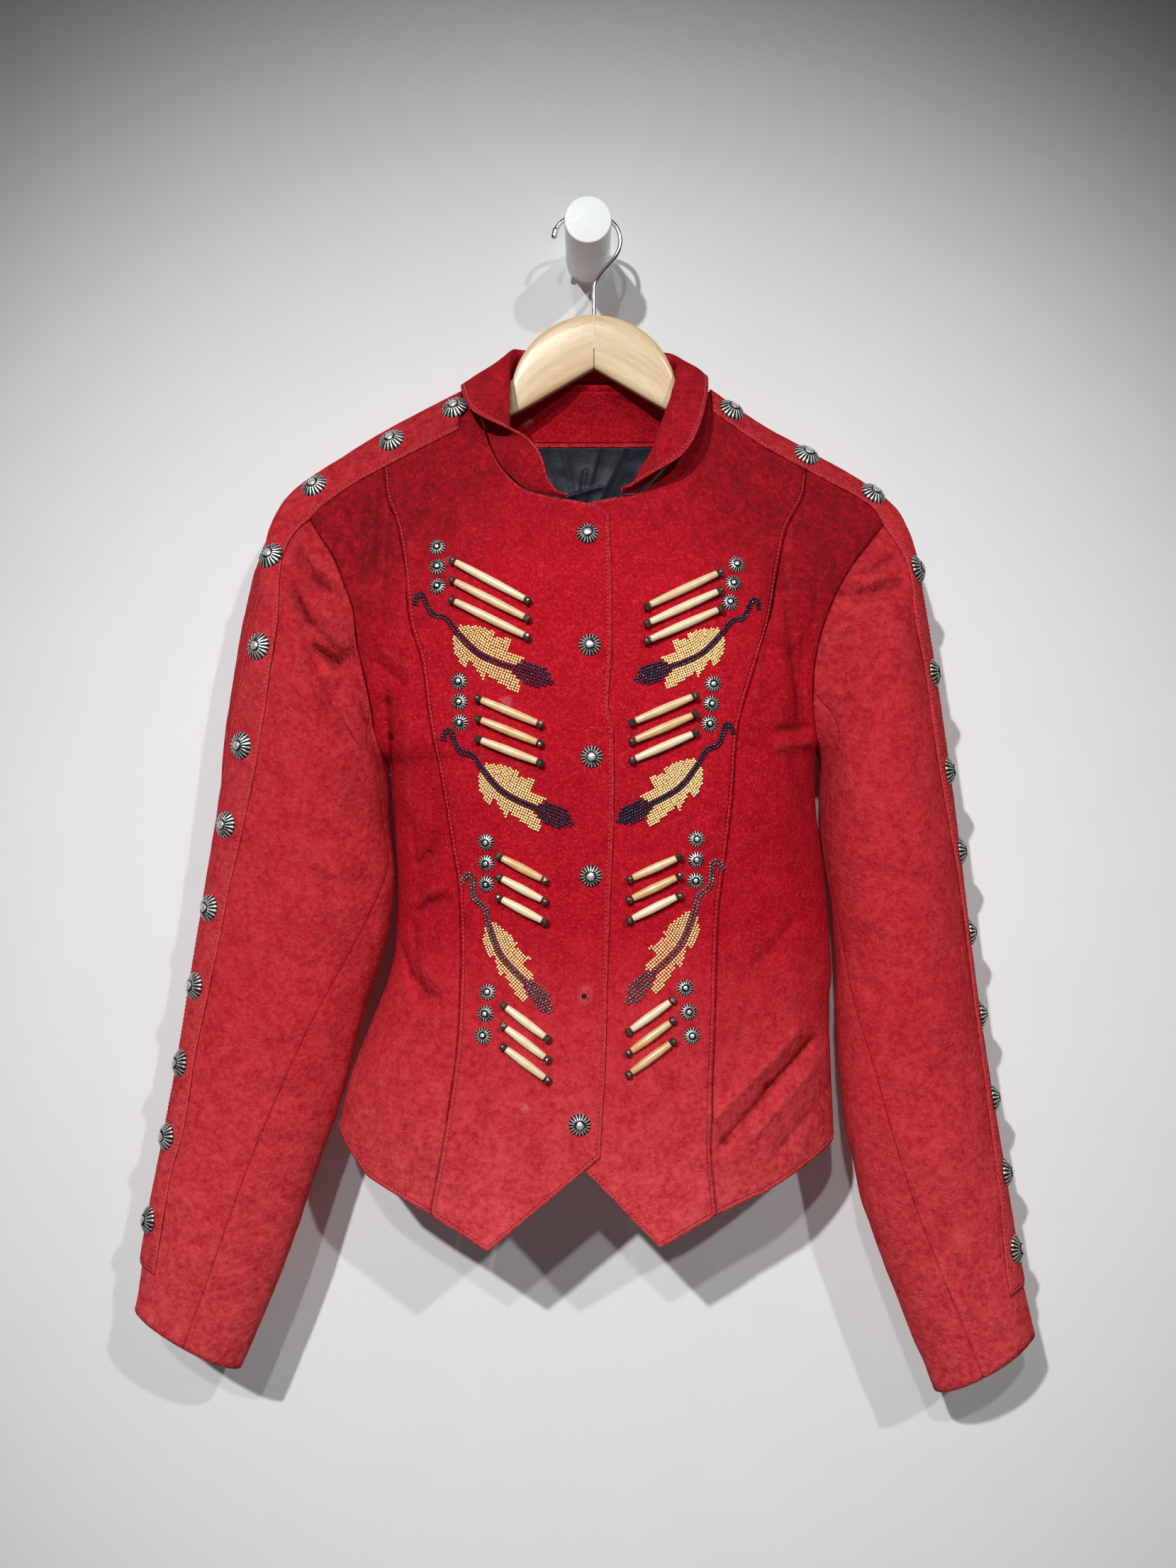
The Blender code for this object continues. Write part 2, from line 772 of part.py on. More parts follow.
def share_armhole_normals(side, front, back_panel):
    """Where sleeve and body meet over a ridge, both walls turn in along the same direction."""
    rows = ROWS_RIGHT if side == "right" else ROWS_LEFT
    count, behind = len(rows["front"]), len(rows["back"])
    points, normals = sleeves[side]
    front_normals, back_normals = front[1], back_panel[1]
    outer_back = 0 if side == "right" else -1
    pairs = [(front_normals, -1, j, 1 + j) for j in range(count)]
    pairs += [(back_normals, outer_back, 0, 1), (back_normals, outer_back, 1, 0)]
    pairs += [(back_normals, outer_back, j, len(points) + 1 - j) for j in range(2, behind - 1)]
    for panel_normals, edge, j, column in pairs:
        row = panel_normals.shape[1] - 1 - j
        run = unit(points[column, 1] - points[column, 0])
        ridge = min(max((0.35 - np.dot(run, panel_normals[edge, row])) * 3, 0), 1)
        both = unit(panel_normals[edge, row] + normals[column, 1] * 1.5)
        panel_normals[edge, row] = unit(panel_normals[edge, row] * (1 - ridge) + both * ridge)
        normals[column, 0] = unit(normals[column, 1] * (1 - ridge) + both * ridge)


# Where the front meets the back, at the side seams and along the shoulders, both walls end square to y
# and stand off the seam

back_tops = back[0][:, -1, 0]
over_shoulder = np.flatnonzero((back_tops <= NECK_POINT[0]) | (back_tops >= NECK_POINT[1]))
meeting = [
    (side_right, [(-1, j) for j in range(SKIRT_ROWS + 1)], -SEAM),
    (side_left, [(-1, j) for j in range(SKIRT_ROWS + 1)], -SEAM),
    (side_right, [(i, -1) for i in range(len(SIDE_COLUMNS))], -SEAM),
    (side_left, [(i, -1) for i in range(len(SIDE_COLUMNS))], -SEAM),
    (centre_right, [(i, -1) for i in range(NECK_COLUMN, len(CENTRE_COLUMNS_RIGHT["top"]))], -SEAM),
    (centre_left, [(i, -1) for i in range(NECK_COLUMN, len(CENTRE_COLUMNS_LEFT["top"]))], -SEAM),
    (back, [(end, j) for end in (0, -1) for j in range(BACK_ROWS + 1)], SEAM),
    (back, [(i, -1) for i in over_shoulder], SEAM),
]
for (_, normals), places, _ in meeting:
    for place in places:
        normals[place] = unit(normals[place] * (1, 0, 1))
share_armhole_normals("right", side_right, back)
share_armhole_normals("left", side_left, back)
for (points, _), places, away in meeting:
    for place in places:
        points[place] += (0, away, 0)

wall("front_centre_right", *centre_right, SUEDE_RED)
wall("front_side_right", *side_right, SUEDE_RED)
wall("front_centre_left", *centre_left, SUEDE_RED)
wall("front_side_left", *side_left, SUEDE_RED)
wall("back", *back, SUEDE_RED)

for side in ("right", "left"):
    points, normals = sleeves[side]
    under = list(range(FRONT_SEAM_COLUMN, BACK_SEAM_COLUMN + 1))
    upper = list(range(BACK_SEAM_COLUMN, len(points))) + list(range(0, FRONT_SEAM_COLUMN + 1))
    for name, columns in (("sleeve_under", under), ("sleeve_upper", upper)):
        piece, piece_normals = points[columns].copy(), normals[columns]
        for edge, neighbour in ((0, 1), (-1, -2)):
            seam = piece[edge].copy()
            for j in range(len(seam)):
                along = seam[min(j + 1, len(seam) - 1)] - seam[max(j - 1, 0)]
                away = unit(np.cross(along, piece_normals[edge, j]))
                towards = np.sign(np.dot(away, piece[neighbour, j] - seam[j]))
                piece[edge, j] = seam[j] + away * towards * SEAM
        wall(f"{name}_{side}", piece, piece_normals, SUEDE_RED)


# What is set on the cloth: round pieces turned on an axis, each landed on the wall under it


def frame_on(normal, along=(0, 0, 1)):
    """A matrix whose third column is the normal."""
    z = unit(np.asarray(normal, float))
    x = unit(np.cross(along, z))
    return np.array([x, np.cross(z, x), z]).T


def turned(bm, profile, place, turn, sides):
    """A closed body turned from (radius, height) pairs, its axis the third column of turn."""
    rings = []
    for radius, height in profile:
        ring = []
        for k in range(sides if radius > 0.01 else 1):
            a = 2 * pi * k / sides
            spot = place + turn @ np.array([radius * cos(a), radius * sin(a), height])
            ring.append(bm.verts.new(spot * MM))
        rings.append(ring)
    for low, high in zip(rings, rings[1:]):
        for k in range(sides):
            n = (k + 1) % sides
            if len(low) == 1:
                bm.faces.new((low[0], high[n], high[k]))
            elif len(high) == 1:
                bm.faces.new((low[k], low[n], high[0]))
            else:
                bm.faces.new((low[k], low[n], high[n], high[k]))
    if len(rings[0]) > 1:
        bm.faces.new(rings[0][::-1])
    if len(rings[-1]) > 1:
        bm.faces.new(rings[-1])


def ground(*names):
    """Something to land pieces on: the outer faces of the named walls."""
    verts, faces = [], []
    for name in names:
        mesh = bpy.data.objects[name].data
        faces += [[len(verts) + v for v in face.vertices] for face in mesh.polygons]
        verts += [v.co.copy() for v in mesh.vertices]
    return BVHTree.FromPolygons(verts, faces)


def land(tree, x, z):
    """The front surface met at x, z, and its normal."""
    spot, normal, _, _ = tree.ray_cast(Vector((x, -400, z)) * MM, Vector((0, 1, 0)))
    return np.array(spot) / MM, np.array(normal)


FRONT = {
    "right": ground("front_centre_right", "front_side_right"),
    "left": ground("front_centre_left", "front_side_left"),
}

# Stitched band from the collar over the shoulder and down the sleeve, with its conchos

STRIP_THICK = 1.5
STRIP_REST = 1.0
STRIP_START = 0.18  # how far past the collar's corner the band begins, as a share of the first column
CONCHO = ((10.2, -1.3), (9.4, 1.6), (5.2, 4.6), (0, 5.4))
CONCHO_SIDES = 8
CONCHOS_RIGHT = table(
    "x z",
    (-104, -122),
    (-150, -150),
    (-206, -190),
    (-237, -249),
    (-236, -317),
    (-246, -391),
    (-261, -451),
    (-274, -513),
    (-284, -570),
    (-296, -629),
    (-303, -684),
    (-319, -743),
)
CONCHOS_LEFT = table(
    "x z",
    (108, -127),
    (166, -162),
    (216, -194),
    (243, -257),
    (256, -336),
    (265, -409),
    (275, -470),
    (285, -530),
    (291, -592),
    (301, -654),
    (308, -709),
    (312, -765),
)


def strip_grid(side):
    """The band's points, taken from the panels' own rows at the shoulder and the sleeve's first columns."""
    centre, outer = (centre_right, side_right) if side == "right" else (centre_left, side_left)
    points, normals = sleeves[side]
    behind = ground("back")
    rows = []
    near, far = centre[0][NECK_COLUMN], centre[0][NECK_COLUMN + 1]
    start = near * (1 - STRIP_START) + far * STRIP_START
    shoulder = [
        (start[None], centre[1][NECK_COLUMN : NECK_COLUMN + 1], [0]),
        (*centre, [NECK_COLUMN + 1]),
        (*outer, range(0, len(SIDE_COLUMNS) - 1)),
    ]
    for grid_points, grid_normals, columns in shoulder:
        for i in columns:
            ridge, ridge_normal = grid_points[i, -1] + (0, SEAM, 0), grid_normals[i, -1]
            spot, back_normal, _, _ = behind.find_nearest(Vector(ridge + (0, 5.2, -1)) * MM)
            face = [np.array(spot) / MM, ridge, grid_points[i, -2], grid_points[i, -3]]
            rows.append((face, [np.array(back_normal), ridge_normal, grid_normals[i, -2], grid_normals[i, -3]]))
    for j in range(0, STRIP_END + 1):
        rows.append((list(points[0:4, j]), list(normals[0:4, j])))
    grid_points = np.array([row[0] for row in rows]).transpose(1, 0, 2)
    grid_normals = np.array([row[1] for row in rows]).transpose(1, 0, 2)
    return grid_points, grid_normals


for side, spots in (("right", CONCHOS_RIGHT), ("left", CONCHOS_LEFT)):
    grid_points, grid_normals = strip_grid(side)
    wall(f"strip_{side}", grid_points, grid_normals, SUEDE_RED, STRIP_THICK, STRIP_REST + STRIP_THICK)
    tree = ground(f"strip_{side}")
    middle = (grid_points[1] + grid_points[2]) / 2 + (grid_normals[1] + grid_normals[2]) * 2
    bm = bmesh.new()
    for x, z in zip(spots["x"], spots["z"]):
        gaps = np.hypot(middle[:, 0] - x, middle[:, 2] - z)
        k = min(max(int(np.argmin(gaps)), 1), len(middle) - 2)
        run = middle[k + 1] - middle[k - 1]
        flat_run = run * (1, 0, 1)
        share = np.dot(np.array([x, 0, z]) - middle[k] * (1, 0, 1), flat_run) / np.dot(flat_run, flat_run)
        spot, normal, _, _ = tree.find_nearest(Vector(middle[k] + run * share) * MM)
        turned(bm, CONCHO, np.array(spot) / MM, frame_on(normal), CONCHO_SIDES)
    conchos = finished(bm, f"conchos_{side}", SILVER)
    conchos.hide_render = True
    conchos.display_type = "WIRE"
    union = bpy.data.objects[f"strip_{side}"].modifiers.new("conchos", "BOOLEAN")
    union.operation = "UNION"
    union.object = conchos
    union.solver = "EXACT"

# Studs beside the hair pipes, three in each group

STUD = ((6, -0.7), (6, 0.5), (3.6, 2.4), (0, 3.0))
STUD_SIDES = 8
STUD_GROUPS = table(
    "x      z       lean  drop",
    (-110.5, -244.5, 0.5, 14.8),
    (-93, -344, 0.5, 14.8),
    (-73.5, -460, 0, 15.2),
    (-72.5, -568.5, -1.5, 15.4),
    (108.5, -257.5, -2.7, 14.2),
    (90, -346, -1.4, 14.4),
    (78, -457.5, -0.3, 15),
    (70, -565, 2.3, 17),
)

for side in ("right", "left"):
    name = f"front_centre_{side}"
    tree = ground(name)
    bm = bmesh.new()
    for x, z, lean, drop in zip(*STUD_GROUPS.values()):
        if (x < 0) == (side == "right"):
            for k in range(3):
                spot, normal = land(tree, x + lean * k, z - drop * k)
                turned(bm, STUD, spot, frame_on(normal), STUD_SIDES)
    studs = finished(bm, f"studs_{side}", SILVER)
    studs.hide_render = True
    studs.display_type = "WIRE"
    union = bpy.data.objects[name].modifiers.new("studs", "BOOLEAN")
    union.operation = "UNION"
    union.object = studs
    union.solver = "EXACT"

# Snap caps on the placket

SNAP = ((7.4, 0), (8, 0.8), (6.6, 3.0), (3.2, 4.2), (0, 4.4))
SNAPS = table("x z", (-0.3, -235), (1.3, -318), (2.7, -398.5), (2.1, -484), (-5.9, -661.5))

for k, (x, z) in enumerate(zip(SNAPS["x"], SNAPS["z"])):
    bm = bmesh.new()
    spot, normal = land(FRONT["right"], x, z)
    turned(bm, SNAP, spot + normal * REST, frame_on(normal), 12)
    finished(bm, f"snap_{k + 1}", SILVER)

# Bone hair pipes with a bead at each end, three in each group, laid from the studs towards the placket

PIPE_GROUPS = table(
    "x_out   z_out   x_in   z_in    drop_out drop_in",
    (-101, -254, -41, -287.2, 14.8, 13.2),
    (-81.5, -355.6, -31.4, -376.6, 14.6, 13.6),
    (-66.7, -468.6, -28.4, -488.5, 15, 15),
    (-63, -575.4, -26.6, -602, 14.6, 14.5),
    (98.4, -263, 39.9, -291.2, 13.6, 12.6),
    (79.5, -353.6, 29, -375.1, 13.3, 13.5),
    (68.2, -469, 27.3, -487.5, 13.8, 14.8),
    (63.1, -571.3, 26.8, -597, 14.6, 15),
)
BEAD_R = 3.1


def lay_rod(tree, start, end, radius):
    """Lays a straight rod on a bulging wall: its two ends, just clear of what is under it."""
    shares = np.linspace(0, 1, 9)
    depth = []
    for t in shares:
        spot, _ = land(tree, *(np.array(start) * (1 - t) + np.array(end) * t))
        depth.append(spot[1])
    line = depth[0] + (depth[-1] - depth[0]) * shares
    proud = (line - np.array(depth)).max()
    lift = proud + radius * 0.93 + REST
    return np.array([start[0], depth[0] - lift, start[1]]), np.array([end[0], depth[-1] - lift, end[1]])


def pipe_profile(length):
    """Bead, tapering bone tube, bead: (radius, height) pairs from one end to the other."""
    half = [(0, 0), (BEAD_R, 2.4), (1.2, 5.6), (2.5, 6.2), (3.2, length / 2)]
    return half + [(radius, length - height) for radius, height in half[-2::-1]]


count = 0
for x_out, z_out, x_in, z_in, drop_out, drop_in in zip(*PIPE_GROUPS.values()):
    tree = FRONT["right" if x_out < 0 else "left"]
    for k in range(3):
        count += 1
        start, end = lay_rod(tree, (x_out, z_out - drop_out * k), (x_in, z_in - drop_in * k), BEAD_R)
        bm = bmesh.new()
        length = np.linalg.norm(end - start)
        turned(bm, pipe_profile(length), start, frame_on(end - start, (0, 1, 0)), 6)
        finished(bm, f"pipe_{count}", BONE)

# Beaded feathers: a thin plate each, with a stem, a notched vane and a dark tip

FEATHER_THICK = 1.4
FEATHER_REST = 0.9
QUILL = table(
    "share  x      z      upper lower",
    (0.00, 0, 0, 1.6, 1.6),
    (0.07, 3, 9, 1.7, 1.7),
    (0.16, 12, -3, 1.7, 1.7),
    (0.27, 23, -11, 1.8, 1.8),
    (0.33, 32, -19, 4, 4.5),
    (0.46, 44, -33, 12, 15),
    (0.52, 50, -37, 8, 11),
    (0.62, 58, -43, 12.5, 13),
    (0.68, 64, -46, 8, 9),
    (0.76, 74, -49, 9, 10),
    (0.81, 80, -51, 5.5, 5.5),
    (0.90, 91, -54, 7.5, 7.5),
    (1.00, 101, -57, 2.5, 2.5),
)
FEATHERS = table(
    "x     z      wide  turn  mirror",
    (-125, -288, 1.0, 0, 1),
    (-103.5, -386.8, 0.955, -3, 1),
    (-90.5, -490, 0.98, -24, 1),
    (123.4, -291.2, 0.9, 0.5, -1),
    (103.5, -382, 0.9, 7.5, -1),
    (96.5, -480.5, 1.03, 23, -1),
)

for k, (x, z, wide, turn, mirror) in enumerate(zip(*FEATHERS.values())):
    tree = FRONT["right" if x < 0 else "left"]
    spin = np.array([[cos(radians(turn)), -sin(radians(turn))], [sin(radians(turn)), cos(radians(turn))]])
    line = [spin @ np.array([mirror * qx * wide, qz * wide]) + (x, z) for qx, qz in zip(QUILL["x"], QUILL["z"])]
    columns = [[], [], []]
    faces = [[], [], []]
    for i, spot in enumerate(line):
        run = unit(line[min(i + 1, len(line) - 1)] - line[max(i - 1, 0)])
        aside = np.array([-run[1], run[0]]) * mirror
        edges = (QUILL["upper"][i] * aside, 0 * aside, -QUILL["lower"][i] * aside)
        for column, normals, offset in zip(columns, faces, edges):
            landed, normal = land(tree, *(spot + offset))
            column.append(landed)
            normals.append(normal)
    lift = FEATHER_REST + FEATHER_THICK
    wall(f"feather_{k + 1}", np.array(columns), np.array(faces), BEADS, FEATHER_THICK, lift)

# Collar: from the neck seam to the fold and down the leaf to its stitched edge, all round the neck

COLLAR_THICK = 2.0
COLLAR = table(
    "nx     nz      fx     fy    fz      ex     ey    ez",
    (-17, -208, -16.6, -104, -206.4, -16, -105, -204.6),
    (-32, -205, -27.8, -105, -202.8, -23, -106.5, -198.6),
    (-46, -201, -37.7, -105.5, -196.5, -29.3, -107.5, -190),
    (-56, -193, -44, -106, -187.2, -33, -108.5, -180.8),
    (-64, -184, -50, -106, -178.9, -37.6, -109, -171.5),
    (-71, -172, -54.5, -103, -168.9, -46.5, -109.5, -163),
    (-75.5, -160, -56.5, -97, -156.7, -60.5, -110, -156.5),
    (-79.7, -147.5, -56.5, -86, -143, -74, -107, -150),
    (-82.5, -136, -57.4, -74, -127, -86, -97, -141.5),
    (-85.2, -122, -58, -63, -111.5, -93, -77, -128),
    (-85, -110.6, -57, -54, -98, -97, -46, -111),
    (-76, -108.2, -53, -43.5, -87, -87.5, -31, -114.6),
    (-64, -107.8, -48.5, -40, -83, -76, -23.5, -118),
    (-50, -107.4, -42, -36, -80, -60, -22, -121),
    (-20, -108.2, -17, -33, -77.5, -22, -18.5, -123.5),
    (14, -108.2, 16, -32, -77.5, 20, -18, -123.5),
    (48, -107.4, 46, -34, -79.5, 57, -21, -121),
    (61, -107.6, 54, -37.5, -82, 71, -25, -118),
    (72, -107.8, 61, -42, -87, 83, -31, -113.5),
    (80, -108, 65.5, -52, -96.5, 90.5, -52, -105.5),
    (80, -122, 64.5, -62, -111, 90, -77, -123),
    (76.5, -138, 61, -74, -124.5, 86.4, -96, -139.7),
    (72.5, -152, 56.4, -85, -139.5, 82, -108, -154.4),
    (67.2, -166, 51.2, -94, -153, 76.2, -114, -168),
    (59, -181, 46.7, -101, -168, 69, -117, -178),
    (50.5, -192.4, 40.8, -105, -179.7, 59.5, -118, -185),
    (42, -199.4, 35.6, -107, -188, 49.2, -117, -190.5),
    (35.4, -204.2, 31, -108, -196, 38, -114, -196.7),
    (30.5, -204.8, 27.6, -107, -200.6, 31.5, -111, -200),
    (25, -205.6, 24.4, -105.5, -203.6, 25.4, -107, -202.4),
)
COLLAR_ROLL = 6.0  # where it turns down, the leaf stays this far from the stand
COLLAR_BACK = (10, 19)  # stations between these two stand on the back's neckline
COLLAR_CLEAR = 2.2  # the collar begins this far above the neck seam
COLLAR_LEAST = 5.0  # least height of the stand and length of the leaf, at the two front ends

stations = len(COLLAR["nx"])
leaf = np.zeros((7, stations, 3))
lines = []
for j in range(stations):
    x, z = COLLAR["nx"][j], COLLAR["nz"][j]
    on_back = COLLAR_BACK[0] < j < COLLAR_BACK[1]
    seam = np.array([x, back_y(x, z - 1) if on_back else front_y(x, z), z])
    fold = np.array([COLLAR["fx"][j], COLLAR["fy"][j], COLLAR["fz"][j]])
    edge = np.array([COLLAR["ex"][j], COLLAR["ey"][j], COLLAR["ez"][j]])
    stand, leaf_run = unit(fold - seam), unit(edge - fold)
    fold = seam + stand * max(np.linalg.norm(fold - seam), COLLAR_LEAST)
    edge = fold + leaf_run * max(np.linalg.norm(edge - fold), COLLAR_LEAST)
    lines.append((seam, fold, edge, stand, leaf_run))
for j, (seam, fold, edge, stand, leaf_run) in enumerate(lines):
    base = seam + stand * COLLAR_CLEAR
    turned_down = min(max(-np.dot(leaf_run, stand) - 0.2, 0) * 1.5, 1)
    roll = min(COLLAR_ROLL, 0.5 * np.linalg.norm(edge - fold))
    along = lines[min(j + 1, stations - 1)][1] - lines[max(j - 1, 0)][1]
    aside = unit(np.cross(stand, along))
    near_stand = fold - stand * min(4, np.linalg.norm(fold - base) * 0.45)
    near_leaf = fold + leaf_run * min(4, np.linalg.norm(edge - fold) * 0.45)
    apart = np.dot(near_leaf - near_stand, aside)
    near_leaf = near_leaf + aside * max(roll - apart, 0) * turned_down
    crown = (near_stand + near_leaf) / 2 + stand * 0.4 * roll * turned_down
    halfway = (near_leaf + edge) / 2 + aside * 1.6 * turned_down
    leaf[:, j] = base, base * 0.55 + near_stand * 0.45, near_stand, crown, near_leaf, halfway, edge


def grid_normals_of(points, outward):
    """Normals of an open grid of points, turned to agree with one given direction in its middle."""
    normals = np.zeros_like(points)
    columns, rows = points.shape[:2]
    for i in range(columns):
        for j in range(rows):
            across = points[min(i + 1, columns - 1), j] - points[max(i - 1, 0), j]
            along = points[i, min(j + 1, rows - 1)] - points[i, max(j - 1, 0)]
            normals[i, j] = unit(np.cross(across, along))
    normals[:, 1:-1] = normals[:, 1:-1] * 2 + normals[:, :-2] + normals[:, 2:]
    normals /= np.linalg.norm(normals, axis=2, keepdims=True)
    if np.dot(normals[columns // 2, rows // 2], outward) < 0:
        normals = -normals
    return normals


from_end = np.minimum(np.arange(stations), np.arange(stations)[::-1])
thick = COLLAR_THICK * np.minimum(0.5 + 0.17 * from_end, 1)[None, :, None]
wall("collar", leaf, grid_normals_of(leaf, (0, 0, 1)), SUEDE_RED, thick, thick / 2)

# Inside the back of the neck: the suede facing, and the satin lining below it as far as it shows

FACING = {"half": 62, "top": -114, "low": -153, "thick": 1.4}
LINING = {"half": 62, "top": -153.5, "low": -216, "thick": 1.2}


def inside_back(name, size, material, columns, rows):
    """A wall laid just inside the back."""
    tree = ground("back")
    points = np.zeros((columns, rows, 3))
    normals = np.zeros_like(points)
    for i, x in enumerate(np.linspace(-size["half"], size["half"], columns)):
        for j, z in enumerate(np.linspace(size["low"], size["top"], rows)):
            spot, _, _, _ = tree.ray_cast(Vector((x, -60, z)) * MM, Vector((0, 1, 0)))
            normals[i, j] = surface_normal(back_y, x, z, 1)
            points[i, j] = np.array(spot) / MM - normals[i, j] * REST
    wall(name, points, normals, material, size["thick"])


inside_back("neck_facing", FACING, SUEDE_RED, 11, 5)
inside_back("lining", LINING, SATIN_NAVY, 9, 5)

# Hanger: two flat wooden arms under a round top, a steel hook, and the wall peg the hook rests on

HANGER_X, HANGER_Y = 4.6, -48.0  # where the arms meet under the hook, and the arms' middle plane
DOME_Z, DOME_R = -122.0, 64.0
HANGER_DROP = 5.2  # the arms' top lies this far under the cloth's top line
ARM = table(
    "x    under half corner",
    (0.3, -99, 6, 2.5),
    (14, -104, 6, 2.5),
    (30, -114, 6, 2.5),
    (46, -125.5, 6, 2.5),
    (57, -132, 5.6, 3.5),
    (66, -136, 5.2, 5),
    (80, -143, 5.2, 5),
    (98, -152, 5.2, 5),
    (126, -168, 5.2, 5),
    (160, -188, 4.8, 5),
    (184, -201, 4.2, 4),
    (192, -205, 2.6, 2),
)


def arm_top(x):
    """Top of the hanger: the round middle, then just under the shoulder's line."""
    reach = DOME_R**2 - (x - HANGER_X) ** 2
    dome = DOME_Z + reach**0.5 if reach > 0 else -999
    return max(dome, read(RIDGE, "x", "z", x) - HANGER_DROP)


for side, sign in (("right", -1), ("left", 1)):
    rings = []
    for step, under, half, corner in zip(*ARM.values()):
        x = HANGER_X + sign * step
        top = arm_top(x)
        under = under - 4 if side == "left" and step > 150 else under
        upper = [(-half * 0.35, top), (half * 0.35, top), (half, top - corner), (half, under + 2.5)]
        shape = upper + [(half * 0.6, under), (-half * 0.6, under), (-half, under + 2.5), (-half, top - corner)]
        rings.append([(x, HANGER_Y + y, z) for y, z in shape])
    bm = bmesh.new()
    loops = [[bm.verts.new(Vector(spot) * MM) for spot in ring] for ring in rings]
    for low, high in zip(loops, loops[1:]):
        for k in range(8):
            n = (k + 1) % 8
            bm.faces.new((low[k], low[n], high[n], high[k]))
    bm.faces.new(loops[0][::-1])
    bm.faces.new(loops[-1])
    finished(bm, f"hanger_arm_{side}", MAPLE)

HOOK = table(
    "x     z      radius",
    (-26.6, 1.4, 1.6),
    (-26.2, 3, 2.3),
    (-25, 7.8, 2.3),
    (-24, 9.5, 1.75),
    (-20.2, 14.2, 1.75),
    (-14, 17.6, 1.75),
    (-7, 19.3, 1.75),
    (0, 19.7, 1.75),
    (7.5, 19.4, 1.75),
    (14, 17, 1.75),
    (19.5, 13, 1.75),
    (23, 8, 1.75),
    (24.8, 1, 1.75),
    (24.2, -5.5, 1.75),
    (21.8, -11.3, 1.75),
    (17.2, -17.4, 1.75),
    (11.4, -24, 1.75),
    (7.4, -29.4, 1.75),
    (5.2, -34.5, 1.75),
    (4.6, -40, 1.75),
    (4.6, -57.4, 1.75),
)
HOOK_SIDES = 8

bm = bmesh.new()
line = np.array([HOOK["x"], np.full(len(HOOK["x"]), HANGER_Y), HOOK["z"]]).T
loops = []
for i, radius in enumerate(HOOK["radius"]):
    run = unit(line[min(i + 1, len(line) - 1)] - line[max(i - 1, 0)])
    aside = np.array([run[2], 0, -run[0]])
    ring = []
    for k in range(HOOK_SIDES):
        a = 2 * pi * k / HOOK_SIDES
        ring.append(bm.verts.new((line[i] + radius * (cos(a) * aside + sin(a) * np.array([0, 1, 0]))) * MM))
    loops.append(ring)
for low, high in zip(loops, loops[1:]):
    for k in range(HOOK_SIDES):
        n = (k + 1) % HOOK_SIDES
        bm.faces.new((low[k], low[n], high[n], high[k]))
bm.faces.new(loops[0][::-1])
bm.faces.new(loops[-1])
finished(bm, "hanger_hook", CHROME)

PEG = ((17.5, 0), (17.5, 94), (16.5, 95))
bm = bmesh.new()
turned(bm, PEG, np.zeros(3), frame_on((0, -1, 0)), 28)
finished(bm, "wall_peg", WHITE_PAINT)
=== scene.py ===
"""The looks of a red suede western jacket on its wooden hanger, held by a round wall peg.

Tables are in millimetres, in the model's own frame: x to the viewer's right, y into the wall, z up.
Right and left in the names of pieces are the wearer's.
"""

from math import cos, pi, radians, sin

import bmesh
import bpy
import numpy as np
from mathutils import Matrix, Vector
from mathutils.bvhtree import BVHTree


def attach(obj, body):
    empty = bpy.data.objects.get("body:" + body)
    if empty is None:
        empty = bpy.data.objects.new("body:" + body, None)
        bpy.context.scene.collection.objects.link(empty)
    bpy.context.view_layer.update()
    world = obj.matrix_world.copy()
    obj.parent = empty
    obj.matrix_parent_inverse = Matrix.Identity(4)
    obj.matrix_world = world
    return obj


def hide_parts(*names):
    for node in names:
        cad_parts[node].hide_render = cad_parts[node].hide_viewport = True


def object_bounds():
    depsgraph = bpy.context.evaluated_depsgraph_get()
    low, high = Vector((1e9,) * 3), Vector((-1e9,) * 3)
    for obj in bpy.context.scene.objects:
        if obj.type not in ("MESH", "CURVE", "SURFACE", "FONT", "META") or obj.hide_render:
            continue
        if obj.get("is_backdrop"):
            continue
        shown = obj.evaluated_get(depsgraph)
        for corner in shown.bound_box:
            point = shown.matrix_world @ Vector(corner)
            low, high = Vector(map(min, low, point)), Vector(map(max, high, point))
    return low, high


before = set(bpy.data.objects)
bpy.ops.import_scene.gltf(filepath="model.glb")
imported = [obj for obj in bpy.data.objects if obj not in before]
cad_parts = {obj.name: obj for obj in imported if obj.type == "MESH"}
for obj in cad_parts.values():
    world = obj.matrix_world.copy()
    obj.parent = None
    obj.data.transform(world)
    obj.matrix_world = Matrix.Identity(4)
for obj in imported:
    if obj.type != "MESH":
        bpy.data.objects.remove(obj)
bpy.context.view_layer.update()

# Suede
# The jacket is dyed split suede about 1.6 mm thick, with a short nap that catches light one way and
# shadows the other, so it looks mottled, and that has faded to a paler orange red where it is rubbed.

MM = 0.001
SUEDE_THICK = 1.6
NAP_RED = (0.60, 0.004, 0.018, 1)
NAP_DEEP = (0.32, 0.002, 0.010, 1)
NAP_WORN = (0.78, 0.092, 0.100, 1)
# A browner red that darkens the nap where the pieces ask: in places such as the shoulders, and as painted
# shade along the bottoms of creases
NAP_DARKENED = (0.165, 0.008, 0.012, 1)
NAP_CHALK = (0.72, 0.32, 0.30, 1)
# How far the rubbing reaches in from an edge and the dark from a seam, and where a row of stitches lies
RUBBED_MM, SEAM_DARK_MM, ROW_MM = 3.2, 1.3, 3.0


def group_sockets(group, inputs, outputs):
    for name, kind, default in inputs:
        socket = group.interface.new_socket(name=name, in_out="INPUT", socket_type=kind)
        socket.default_value = default
    for name, kind in outputs:
        group.interface.new_socket(name=name, in_out="OUTPUT", socket_type=kind)


